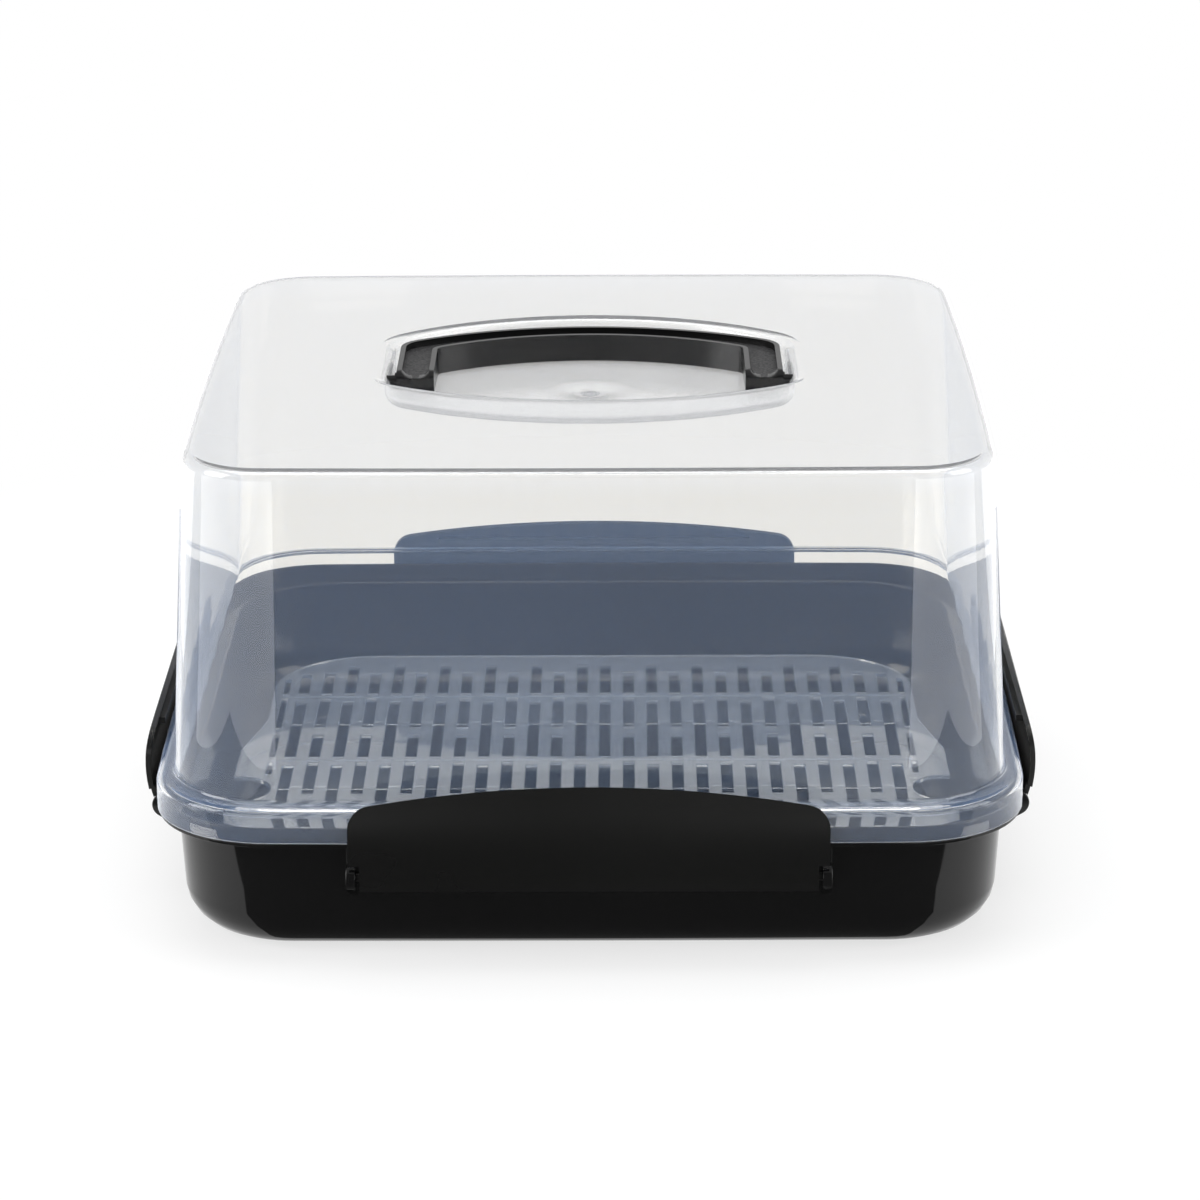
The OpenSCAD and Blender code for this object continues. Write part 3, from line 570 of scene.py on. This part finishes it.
class BuildTub(bpy.types.Operator):
    """Builds the black tub: a smooth shell with its ledge, upstand and hinge lugs"""

    bl_idname = "carrier.tub"
    bl_label = "Tub"

    def execute(self, context):
        s = context.scene.carrier_tub
        bm = bmesh.new()
        rim_corner = s.ledge_corner - (s.ledge_half - s.rim_half)
        in_half, in_corner = s.rim_half - s.rim, rim_corner - s.rim
        foot_corner = s.wall_corner - (s.wall_half - s.foot_half)
        rows = [  # half width, corner, bow, height, rounding
            (s.foot_half, foot_corner, s.wall_bow, 0.0, s.foot_round),
            (s.wall_half, s.wall_corner, s.wall_bow, s.height, 1.0 * MM),
            (s.ledge_half, s.ledge_corner, s.ledge_bow, s.height, 0.4 * MM),
            (s.ledge_half, s.ledge_corner, s.ledge_bow, s.ledge_top, 0.5 * MM),
            (s.rim_half, rim_corner, s.ledge_bow, s.ledge_top, 0.3 * MM),
            (s.rim_half, rim_corner, s.ledge_bow, TUB_TOP, 0.7 * MM),
            (in_half, in_corner, s.ledge_bow, TUB_TOP, 0.7 * MM),
            (in_half, in_corner, s.ledge_bow, s.ledge_top, 0.4 * MM),
            (s.wall_half - s.wall, s.wall_corner - s.wall, s.wall_bow, s.ledge_top - 0.8 * MM, 0.8 * MM),
            (s.foot_half - s.wall, foot_corner - s.wall, s.wall_bow, s.wall, s.foot_round - s.wall),
        ]
        loops = [bowed_loop(bm, *row[:3]) for row in rows]
        join_loops(bm, loops, [row[3] for row in rows])
        cap(bm, loops[0])
        cap(bm, loops[-1])
        round_loops(bm, loops, [row[4] for row in rows])
        outward(bm)
        drift = [1.25 * c for c in s.plastic]
        material = plastic("Black tub plastic", s.plastic, drift, s.gloss * 0.8, s.gloss * 1.3)
        material.node_tree.nodes["Principled BSDF"].inputs["Specular IOR Level"].default_value = 0.42
        piece(bm, "tub_shell", "base", "tub", material)
        bm = bmesh.new()
        for turn in range(4):
            for side in (-1, 1):
                self.add_lug(bm, s, side, turn)
        outward(bm)
        piece(bm, "tub_lugs", "base", "tub", material, bevel=0.35 * MM)
        return {"FINISHED"}

    def add_lug(self, bm, s, side, turn):
        """One lug: an eye with its pin hole, a rib up to the ledge and a slope down to the wall."""
        x = side * s.lug_at - s.lug_t / 2
        rib = s.ledge_half - s.ledge_bow
        wall = s.wall_half - s.wall_bow - LUG_SINK
        root = s.hinge_z - LUG_ROOT
        up = APART + s.hinge_z
        hinge = Vector((x, -s.hinge_at, up))
        start = bm.verts.new((x, -rib, APART + s.height + LUG_TOP_SINK))
        v = line(bm, start, (x, -rib, up + math.sqrt(s.lug_r ** 2 - (s.hinge_at - rib) ** 2)))
        first = Vector((-rib + s.hinge_at, v.co.z - up))
        slope = Vector((-(wall - LUG_SLANT) + s.hinge_at, root - s.hinge_z))
        down = math.atan2(slope.y, slope.x) - math.acos(s.lug_r / slope.length)
        swing = math.degrees(math.atan2(first.y, first.x) - down)
        v = arc(bm, v, hinge, 360.0 - swing, 18, axis=(1, 0, 0))
        v = line(bm, v, (x, -(wall - LUG_SLANT), APART + root))
        v = line(bm, v, (x, -wall, APART + s.height + LUG_TOP_SINK))
        bmesh.ops.contextual_create(bm, geom=[v, start])
        eye = bm.verts.new(hinge - Vector((0, PIN_HOLE, 0)))
        bmesh.ops.spin(bm, geom=[eye], cent=hinge, axis=(1, 0, 0), angle=math.tau, steps=20, use_merge=True)
        edges = [e for e in bm.edges if e.verts[0].co.z > APART / 2]
        made = bmesh.ops.triangle_fill(bm, edges=edges, use_beauty=True, use_dissolve=False)
        faces = [g for g in made["geom"] if isinstance(g, bmesh.types.BMFace)]
        raised(bm, faces, (s.lug_t, 0, 0))
        turned(bm, settled(bm)[0], turn)


class BuildLid(bpy.types.Operator):
    """Builds the clear lid: one shell from the flange's lower edge to the dish in the handle's recess"""

    bl_idname = "carrier.lid"
    bl_label = "Lid"

    def execute(self, context):
        s = context.scene.carrier_lid
        bm = bmesh.new()
        foot_corner = s.flange_corner - (s.flange_half - s.foot_half)
        rows = [  # half width, corner, bow, height, rounding
            (s.flange_half, s.flange_corner, s.bow, s.skirt_z, 0.0),
            (s.flange_half, s.flange_corner, s.bow, s.shoulder_z, s.shoulder_round),
            (s.foot_half, foot_corner, s.bow, s.shoulder_z, 1.4 * MM),
            (s.top_half, s.top_corner, s.bow, LID_TOP, s.top_round),
        ]
        loops = [bowed_loop(bm, *row[:3]) for row in rows]
        floor, neck = LID_TOP - s.recess_depth, LID_TOP - RECESS_NECK
        rings = [  # radius, height, rounding
            (s.dish_half, floor, 6.0 * MM),
            (5.6 * MM, floor - 0.7 * MM, 2.6 * MM),
            (2.4 * MM, floor - 0.7 * MM, 0.15 * MM),
            (2.0 * MM, floor - 1.2 * MM, 0.15 * MM),
            (1.0 * MM, floor - 1.2 * MM, 0.1 * MM),
            (0.7 * MM, floor - 1.6 * MM, 0.1 * MM),
        ]
        mouth = recess_loop(bm, s)
        for v in {v for e in mouth for v in e.verts}:
            v.co.x *= 1 + s.recess_flare / s.recess_half
        loops += [mouth, recess_loop(bm, s), recess_loop(bm, s)] + [dish_loop(bm, ring[0]) for ring in rings]
        join_loops(bm, loops, [row[3] for row in rows] + [LID_TOP, neck, floor] + [ring[1] for ring in rings])
        cap(bm, loops[-1])
        radii = [row[4] for row in rows] + [RECESS_LIP, 0.0, s.recess_round] + [ring[2] for ring in rings]
        round_loops(bm, loops, radii, steps=6)
        outward(bm)
        flip_to_face_up(bm)
        # The lid turns to the paler top tone and haze between the recess floor and the top's rounding: painted light by
        # height.
        heights = (floor, LID_TOP - s.top_round)
        top = (s.painted_top_plastic, s.painted_top_haze)
        material = clear_plastic("Clear lid plastic", s.plastic, s.haze, s.milk, s.gloss * 0.7, s.gloss * 1.6,
                                 veil=0.2, high=(*top, heights))
        obj = piece(bm, "lid_shell", "lid", "lid", material, crease=60, shell=s.wall)
        # The recess takes the painted paler top tone and haze, with a rougher face.
        frosted = clear_plastic("Frosted recess plastic", *top, 2 * s.milk, s.frost * 0.8, s.frost * 1.2)
        obj.data.materials.append(frosted)
        # The flange's lower edge faces are made very milky so that they show as a bright line: a painted highlight, in
        # the painted top tone.
        obj.data.materials.append(clear_plastic("Painted edge highlight plastic", *top, 0.6, 0.2, 0.3))
        obj.modifiers["Wall"].material_offset_rim = 2
        for face in obj.data.polygons:
            x, y, z = face.center
            sunk = floor - 3.0 * MM < z < LID_TOP - 0.8 * MM
            if sunk and abs(x) < s.recess_half + s.recess_flare and RECESS_FRONT < y < RECESS_REAR:
                face.material_index = 1
        return {"FINISHED"}


def dish_loop(bm, radius):
    """A circle of the dish in the recess floor."""
    place = Matrix.Translation((0, -3.0 * MM, 0))
    verts = bmesh.ops.create_circle(bm, cap_ends=False, segments=64, radius=radius, matrix=place)["verts"]
    return edges_of(verts)


def recess_loop(bm, s):
    """The outline of the handle's recess: two long arcs and two end lines with rounded corners."""
    z = APART
    rear_r, front_r, rear_c, front_c = 103.5 * MM, 128.5 * MM, 22.0 * MM, 12.0 * MM
    rear_cy, front_cy = -29.2 * MM, 77.0 * MM
    rx, fx = s.recess_half - rear_c, s.recess_half - front_c
    rear = math.degrees(math.asin(rx / (rear_r - rear_c)))
    front = math.degrees(math.asin(fx / (front_r - front_c)))
    ry = rear_cy + (rear_r - rear_c) * math.cos(math.radians(rear))
    fy = front_cy - (front_r - front_c) * math.cos(math.radians(front))
    v = bm.verts.new((0, rear_cy + rear_r, z))
    v = arc(bm, v, (0, rear_cy, z), -rear, 14)
    v = arc(bm, v, (rx, ry, z), rear - 90, 7)
    v = line(bm, v, (s.recess_half, fy, z))
    v = arc(bm, v, (fx, fy, z), front - 90, 6)
    arc(bm, v, (0, front_cy, z), -front, 14)
    mirrored(bm)
    return settled(bm)[1]


class BuildHandle(bpy.types.Operator):
    """Builds the folding handle: a bowed bail with a deep channel, scooped leg ends and pivot stubs"""

    bl_idname = "carrier.handle"
    bl_label = "Handle"

    def execute(self, context):
        s = context.scene.carrier_handle
        bm = bmesh.new()
        outer_r, inner_r, corner, inner = 126.0 * MM, 103.0 * MM, 13.0 * MM, 5.0 * MM
        cy = s.pivot_y + s.reach - outer_r
        in_cy = s.pivot_y + s.reach - s.grip - inner_r
        open_half = s.half - s.leg
        front = s.pivot_y - s.nose
        z = s.low + APART
        cx, ix = s.half - corner, open_half - inner
        turn = math.degrees(math.asin(cx / (outer_r - corner)))
        in_turn = math.degrees(math.asin(ix / (inner_r - inner)))
        iy = in_cy + (inner_r - inner) * math.cos(math.radians(in_turn))
        v = bm.verts.new((0, cy + outer_r, z))
        v = arc(bm, v, (0, cy, z), -turn, 16)
        v = arc(bm, v, (cx, cy + (outer_r - corner) * math.cos(math.radians(turn)), z), turn - 90, 8)
        v = line(bm, v, (s.half, front, z))
        v = line(bm, v, (open_half, front, z))
        v = line(bm, v, (open_half, iy, z))
        v = arc(bm, v, (ix, iy, z), 90 - in_turn, 6)
        arc(bm, v, (0, in_cy, z), in_turn, 16)
        mirrored(bm)
        base = cap(bm, settled(bm)[1])
        raised(bm, [base], (0, 0, s.high - s.low))
        outward(bm)
        noses = [e for e in bm.edges if all(abs(v.co.y - front) < TIGHT for v in e.verts) and
                 abs(e.verts[0].co.z - e.verts[1].co.z) < TIGHT]
        bmesh.ops.bevel(bm, geom=noses, offset=s.nose * 0.7, offset_type="OFFSET", segments=5, profile=0.5,
                        affect="EDGES", material=-1)
        bmesh.ops.inset_region(bm, faces=[top_face(bm)], thickness=s.rim, depth=0.0, use_even_offset=True)
        top = max((f for f in bm.faces if abs(f.normal.z) > 0.9 and f.calc_center_median().z > s.high - 1e-5),
                  key=lambda f: len(f.verts))
        raised(bm, [top], (0, 0, -s.channel), pocket=True)
        self.scoop(bm, s)
        self.taper(bm, s)
        for side in (-1, 1):
            for out, radius, span in ((1.7 * MM, 1.95 * MM, 4.6 * MM), (0.1 * MM, 3.0 * MM, 1.4 * MM)):
                rod(bm, (side * (s.half + out), s.pivot_y, s.pivot_z), radius, span)
        outward(bm)
        drift = [1.3 * c for c in s.plastic]
        black = plastic("Black handle plastic", s.plastic, drift, s.gloss * 0.8, s.gloss * 1.3)
        obj = piece(bm, "handle_bail", "handle", "handle", black, bevel=0.75 * MM)
        grainy = plastic("Grained channel plastic", (0.004, 0.004, 0.004), (0.040, 0.040, 0.042), 0.42, 0.6,
                         grain_scale=1300.0, grain=1.0, patch=900.0, drift_scale=1000.0)
        obj.data.materials.append(grainy)
        for face in obj.data.polygons:
            if abs(face.center.z - (s.high - s.channel)) < 1e-5 and face.normal.z > 0.9:
                face.material_index = 1
        return {"FINISHED"}

    def scoop(self, bm, s):
        """Lowers the rim at each leg's end to a round scoop."""
        middle = s.half - s.leg / 2
        reach, run = s.leg / 2 - s.rim, s.pivot_y + SCOOP_RUN
        for side in (-1, 1):
            for step in range(-4, 5):
                near = []
                for face in bm.faces:
                    x, y, z = face.calc_center_median()
                    if y < run and x * side > 0 and z > s.pivot_z and len(face.verts) < 12:
                        near.append(face)
                sliced(bm, (side * (middle + reach * step / 4), 0, 0), (1, 0, 0), near)
        floor = s.high - s.channel
        for v in bm.verts:
            across = (abs(v.co.x) - middle) / reach
            if v.co.y < run and v.co.z > floor + 1e-5 and abs(across) < 0.999:
                v.co.z = floor + (v.co.z - floor) * across ** 4

    def taper(self, bm, s):
        """Raises the underside towards the leg ends."""
        start = s.pivot_y + TAPER_RUN
        sliced(bm, (0, start, 0), (0, 1, 0))
        for v in bm.verts:
            if v.co.z < s.low + 4 * MM and v.co.y < start:
                v.co.z += TAPER_RISE * min(1.0, (start - v.co.y) / TAPER_RUN)


class BuildClips(bpy.types.Operator):
    """Builds the four side clips: an arched, bowed face over a barrel with two pins"""

    bl_idname = "carrier.clips"
    bl_label = "Side clips"

    def execute(self, context):
        s = context.scene.carrier_clip
        tub = context.scene.carrier_tub
        drift = [1.3 * c for c in s.plastic]
        material = plastic("Satin clip plastic", s.plastic, drift, s.gloss * 0.85, s.gloss * 1.2,
                           grain_scale=2600.0, grain=0.06)
        for turn, side in enumerate(("front", "right", "rear", "left")):
            bm = self.clip(s, tub)
            turned(bm, bm.verts, turn)
            name = "clip_" + side
            piece(bm, name + "_face", name, name, material, bevel=0.75 * MM)
        return {"FINISHED"}

    def clip(self, s, tub):
        """The front clip, at its place."""
        bm = bmesh.new()
        arch_r = (s.half ** 2 + s.arch ** 2) / (2 * s.arch)
        hinge_z, out = tub.hinge_z, -tub.hinge_at
        arch_z = hinge_z + s.rise - arch_r
        cx = s.half - s.corner
        turn = math.degrees(math.asin(cx / (arch_r - s.corner)))
        cz = arch_z + (arch_r - s.corner) * math.cos(math.radians(turn))
        notch = hinge_z + 6.1 * MM
        v = bm.verts.new((0, 0, APART + hinge_z + s.rise))
        v = arc(bm, v, (0, 0, APART + arch_z), turn, 18, axis=(0, 1, 0))
        v = arc(bm, v, (cx, 0, APART + cz), 90 - turn, 8, axis=(0, 1, 0))
        v = line(bm, v, (s.half, 0, APART + notch))
        v = line(bm, v, (s.foot_half, 0, APART + notch))
        v = line(bm, v, (s.foot_half, 0, APART + hinge_z - s.barrel))
        line(bm, v, (0, 0, APART + hinge_z - s.barrel))
        mirrored(bm)
        cap(bm, settled(bm)[1])
        for step in range(0, 11):
            sliced(bm, (0, 0, hinge_z + s.rise * step / 11), (0, 0, 1))
        foot_out, top_out = -out + s.barrel, LID_HIGH.x + 2.4 * MM
        chord = math.hypot(top_out - foot_out, s.rise)
        face_r = ((chord / 2) ** 2 + s.bow ** 2) / (2 * s.bow)
        lean = math.atan((top_out - foot_out) / s.rise)
        mid_out, mid_z = (foot_out + top_out) / 2, hinge_z + s.rise / 2
        c_out, c_z = mid_out - (face_r - s.bow) * math.cos(lean), mid_z + (face_r - s.bow) * math.sin(lean)
        for v in bm.verts:
            z = max(v.co.z, hinge_z)
            v.co.y = -(c_out + math.sqrt(face_r ** 2 - (z - c_z) ** 2))
        bmesh.ops.recalc_face_normals(bm, faces=bm.faces)
        if sum(f.normal.y for f in bm.faces) > 0:
            bmesh.ops.reverse_faces(bm, faces=bm.faces)
        bmesh.ops.solidify(bm, geom=list(bm.faces), thickness=s.thickness)
        bmesh.ops.recalc_face_normals(bm, faces=bm.faces)
        bar(bm, (-s.foot_half, -foot_out + 0.6 * MM, hinge_z - s.barrel), (s.foot_half, out, hinge_z))
        rod(bm, (0, out, hinge_z), s.barrel, 2 * s.foot_half, steps=40)
        rod(bm, (0, out, hinge_z), s.pin, 2 * (tub.lug_at + tub.lug_t / 2 - 0.2 * MM))
        catch_z = tub.height + CATCH_RISE
        bar(bm, (-CATCH_HALF, -(LID_HIGH.x + CATCH_OUT), catch_z),
            (CATCH_HALF, -(LID_HIGH.x + CATCH_IN), catch_z + CATCH_HEIGHT))
        bmesh.ops.recalc_face_normals(bm, faces=bm.faces)
        return bm


class BuildTray(bpy.types.Operator):
    """Builds the clear perforated tray with its finger notches, ties and cross ribs"""

    bl_idname = "carrier.tray"
    bl_label = "Tray"

    def execute(self, context):
        s = context.scene.carrier_tray
        bm = bmesh.new()
        self.sheet(bm, s)
        for x, width, tied, front in self.columns(s):
            self.cut(bm, x, width, list(self.slots(s, x, tied, front)))
        outward(bm)
        flip_to_face_up(bm)
        raised(bm, list(bm.faces), (0, 0, -s.thickness))
        outward(bm)
        for index in (-1, 0, 1):
            y = s.rib_y + index * s.rib_pitch
            bar(bm, (-RIB_HALF, y - RIB_WALL, RIB_FOOT), (RIB_HALF, y + RIB_WALL, s.low + 0.2 * MM))
        material = clear_plastic("Clear tray plastic", s.plastic, s.haze, s.milk, s.gloss * 0.7, s.gloss * 1.4)
        piece(bm, "tray_sheet", "tray", "tray", material, bevel=0.3 * MM)
        return {"FINISHED"}

    def sheet(self, bm, s):
        """The flat outline with its wings and notches, as one face."""
        z = APART + s.low + s.thickness
        notch_y, notch_r, wing, slope = -19 * MM, 14 * MM, 83 * MM, 38 * MM
        notch_x = s.half - 17 * MM + notch_r
        cx, cy = s.neck - s.corner, s.half - s.corner
        v = bm.verts.new((0, s.half, z))
        v = line(bm, v, (cx, s.half, z))
        v = arc(bm, v, (cx, cy, z), -90, 12)
        v = line(bm, v, (s.neck, notch_y + wing, z))
        v = line(bm, v, (s.half, notch_y + wing - slope, z))
        v = line(bm, v, (s.half, notch_y + notch_r, z))
        v = line(bm, v, (notch_x, notch_y + notch_r, z))
        v = arc(bm, v, (notch_x, notch_y, z), 180, 16)
        v = line(bm, v, (s.half, notch_y - notch_r, z))
        v = line(bm, v, (s.half, notch_y - wing + slope, z))
        v = line(bm, v, (s.neck, notch_y - wing, z))
        v = line(bm, v, (s.neck, -cy, z))
        v = arc(bm, v, (cx, -cy, z), -90, 12)
        line(bm, v, (0, -s.half, z))
        mirrored(bm)
        cap(bm, settled(bm)[1])

    def field(self, s, x):
        """Half the length of the slotted field at a distance from the middle."""
        bend = max(0.0, abs(x) - s.neck + s.corner)
        return s.half - s.corner - 9 * MM + math.sqrt(s.corner ** 2 - bend ** 2)

    def columns(self, s):
        """Each column of slots: place, width, whether ties cross it, and its front limit."""
        edge = s.neck - 5 * MM
        count = int((edge - (EDGE_SLOT + s.slot) / 2 - RIB_GAP) / s.pitch + 0.5)
        for side in (-1, 1):
            for index in range(count):
                x = (index + 0.5) * s.pitch
                yield side * x, s.slot, index % 2 == 1, -self.field(s, x)
            yield side * edge, EDGE_SLOT, True, -2 * MM

    def slots(self, s, x, tied, front):
        """The start and end of each slot in one column."""
        for index in (-2, -1, 0, 1):
            rib = s.rib_y + index * s.rib_pitch
            start, end = max(rib + RIB_GAP, front), min(rib + s.rib_pitch - RIB_GAP, self.field(s, x))
            tie = rib + TIE_PLACE
            parts = [(start, end - SLOT_END)]
            if tied:
                parts = [(start, min(end, tie - TIE_HALF)), (max(start, tie + TIE_HALF), end)]
            yield from (part for part in parts if part[1] - part[0] > SLOT_LEAST)

    def cut(self, bm, x, width, slots):
        """Cuts one column of slots out of the sheet."""
        for side in (-0.5, 0.5):
            sliced(bm, (x + side * width, 0, 0), (1, 0, 0), dist=1e-7)
        for y in [y for slot in slots for y in slot]:
            near = [f for f in bm.faces if abs(f.calc_center_median().x - x) < width / 2]
            sliced(bm, (0, y, 0), (0, 1, 0), near, dist=1e-7)
        gone = [f for f in bm.faces if abs(f.calc_center_median().x - x) < width / 2 and
                any(start < f.calc_center_median().y < end for start, end in slots)]
        bmesh.ops.delete(bm, geom=gone, context="FACES")


class BuildStudio(bpy.types.Operator):
    """Builds the pale floor, the soft lights, the surround and the camera"""

    bl_idname = "carrier.studio"
    bl_label = "Studio"

    def execute(self, context):
        s = context.scene.carrier_studio
        scene = context.scene
        bm = bmesh.new()
        bmesh.ops.create_grid(bm, x_segments=1, y_segments=1, size=FLOOR_HALF, matrix=Matrix.Translation(FLOOR_PLACE))
        floor = new_object(bm, "floor")
        floor.data.materials.append(self.pale_floor(s))
        for side in (-1, 1):
            self.cards(s, side)
        self.surround(scene, s)
        top = self.light("top_light", TOP_LIGHT_PLACE, TOP_LIGHT_SIZE, s.key)
        top.visible_glossy = False
        x, y, z = SIDE_LIGHT_PLACE
        self.light("left_light", (-x, y, z), SIDE_LIGHT_SIZE, s.side)
        self.light("right_light", (x, y, z), SIDE_LIGHT_SIZE, RIGHT_LIGHT_SHARE * s.side)
        self.camera(scene)
        scene.view_settings.view_transform = "Standard"
        return {"FINISHED"}

    def seen_share(self, tree):
        """A value that is 1 for rays from the camera and for rays that a mirror or glass sends on."""
        rays = add_node(tree, "LightPath").outputs
        seen = rays["Is Camera Ray"]
        for label in ("Is Glossy Ray", "Is Transmission Ray"):
            seen = maths(tree, "MAXIMUM", seen, rays[label])
        return seen

    def pale_floor(self, s):
        """A pale floor that is white far off and keeps a soft shadow near the object."""
        material, tree = new_material("Pale floor")
        shader = feed(tree, tree.nodes["Principled BSDF"],
                      {"Base Color": (*s.floor, 1.0), "Roughness": 0.9, "Specular IOR Level": 0.0})
        white = add_node(tree, "Emission")
        away = add_node(tree, "VectorMath", {0: object_place(tree)}, operation="LENGTH").outputs["Value"]
        shown = maths(tree, "MULTIPLY", self.seen_share(tree), mapped(tree, away, *FLOOR_FADE, s.shine, 1.0))
        both = mixed(tree, shown, shader.outputs["BSDF"], white.outputs["Emission"])
        feed(tree, tree.nodes["Material Output"], {"Surface": both})
        return material

    def cards(self, s, side):
        """A dark card and two pale ones beside it, before or behind the object. They show only in gloss: the dark card
        paints a dark reflection, also of the shaded floor under the tub's foot, and the pale cards glow to paint bright
        reflections while lighting nothing.
        """
        dark = [(x, side * y) for x, y in DARK_REFLECTION_CARD] + [(-x, side * y) for x, y in reversed(DARK_REFLECTION_CARD)]
        self.card("dark_reflection_card", dark, s.dark, tall=side < 0)
        for hand in (-1, 1):
            self.card("bright_reflection_card", [(hand * x, side * y) for x, y in BRIGHT_REFLECTION_CARD], s.pale)

    def card(self, name, outline, strength, tall=False):
        """One card on the floor, which glows only for gloss: a painted reflection. A tall one also stands up at its far
        edge.
        """
        bm = bmesh.new()
        verts = [bm.verts.new((x, y, CARD_HEIGHT)) for x, y in outline]
        bm.faces.new(verts)
        if tall:
            far = bm.edges.get((verts[len(DARK_REFLECTION_CARD) - 1], verts[len(DARK_REFLECTION_CARD)]))
            made = bmesh.ops.extrude_edge_only(bm, edges=[far])["geom"]
            bmesh.ops.translate(bm, verts=[g for g in made if isinstance(g, bmesh.types.BMVert)], vec=(0, 0, CARD_RISE))
        card = new_object(bm, name)
        material, tree = new_material(name.replace("_", " ").capitalize())
        glow = add_node(tree, "Emission", {"Strength": strength})
        feed(tree, tree.nodes["Material Output"], {"Surface": glow.outputs["Emission"]})
        card.data.materials.append(material)
        card.visible_camera = card.visible_diffuse = card.visible_transmission = card.visible_shadow = False

    def surround(self, scene, s):
        """A world that lights the object softly. The camera sees it white, gloss and glass see it paler low down."""
        scene.world = bpy.data.worlds.new("Studio surround")
        scene.world.use_nodes = True
        tree = scene.world.node_tree
        glow = feed(tree, tree.nodes["Background"], {"Color": WHITE, "Strength": s.air})
        way = add_node(tree, "TexCoord").outputs["Generated"]
        height = add_node(tree, "SeparateXYZ", {"Vector": way}).outputs["Z"]
        direct = add_node(tree, "LightPath").outputs["Is Camera Ray"]
        strength = maths(tree, "MAXIMUM", mapped(tree, height, *SURROUND_SPAN, s.low, s.above), direct)
        shown = add_node(tree, "Background", {"Color": WHITE, "Strength": strength})
        both = mixed(tree, self.seen_share(tree), glow.outputs["Background"], shown.outputs["Background"])
        feed(tree, tree.nodes["World Output"], {"Surface": both})

    def light(self, name, place, size, power):
        """One soft rectangular light that faces the object, which is returned."""
        data = bpy.data.lights.new(name, "AREA")
        data.shape, data.size, data.size_y, data.energy = "RECTANGLE", size[0], size[1], power
        lamp = bpy.data.objects.new(name, data)
        bpy.context.scene.collection.objects.link(lamp)
        lamp.location = place
        lamp.rotation_euler = (Vector(LIGHT_TARGET) - Vector(place)).to_track_quat("-Z", "Y").to_euler()
        return lamp

    def camera(self, scene):
        """The camera at the photograph's place: a long lens 18 degrees above the table."""
        data = bpy.data.cameras.new("camera")
        data.sensor_width, data.lens = 36.0, CAMERA_LENS
        cam = bpy.data.objects.new("camera", data)
        scene.collection.objects.link(cam)
        scene.camera = cam
        lift, roll, yaw = (math.radians(a) for a in CAMERA_ANGLES)
        ahead = Vector((math.sin(yaw) * math.cos(lift), math.cos(yaw) * math.cos(lift), -math.sin(lift)))
        right = Vector((math.cos(yaw), -math.sin(yaw), 0))
        up = right.cross(ahead)
        across = right * math.cos(roll) + up * math.sin(roll)
        above = up * math.cos(roll) - right * math.sin(roll)
        turn = Matrix((across, above, -ahead)).transposed()
        cam.matrix_world = Matrix.Translation([c * MM for c in CAMERA_PLACE]) @ turn.to_4x4()
        data.clip_start, data.clip_end = 0.05, 60.0


class CarrierPanel(bpy.types.Panel):
    """Lists what builds the carrier"""

    bl_idname = "VIEW3D_PT_carrier"
    bl_label = "Cake carrier"
    bl_space_type = "VIEW_3D"
    bl_region_type = "UI"
    bl_category = "Carrier"

    def draw(self, context):
        for build in BUILDERS:
            self.layout.operator(build.bl_idname)
        for label in SIZES:
            group = getattr(context.scene, label)
            box = self.layout.box()
            for key in group.__annotations__:
                box.prop(group, key)


SIZES = {
    "carrier_tub": TubSizes,
    "carrier_lid": LidSizes,
    "carrier_handle": HandleSizes,
    "carrier_clip": ClipSizes,
    "carrier_tray": TraySizes,
    "carrier_studio": StudioSizes,
}
BUILDERS = (BuildTub, BuildLid, BuildHandle, BuildClips, BuildTray, BuildStudio)
CLASSES = (*SIZES.values(), *BUILDERS, CarrierPanel)


def register():
    for cls in CLASSES:
        bpy.utils.register_class(cls)
    for label, cls in SIZES.items():
        setattr(bpy.types.Scene, label, PointerProperty(type=cls))


def unregister():
    for label in SIZES:
        delattr(bpy.types.Scene, label)
    for cls in reversed(CLASSES):
        bpy.utils.unregister_class(cls)


def main():
    register()
    bpy.ops.carrier.tub()
    bpy.ops.carrier.lid()
    bpy.ops.carrier.handle()
    bpy.ops.carrier.clips()
    bpy.ops.carrier.tray()
    bpy.ops.carrier.studio()


if __name__ == "__main__":
    main()
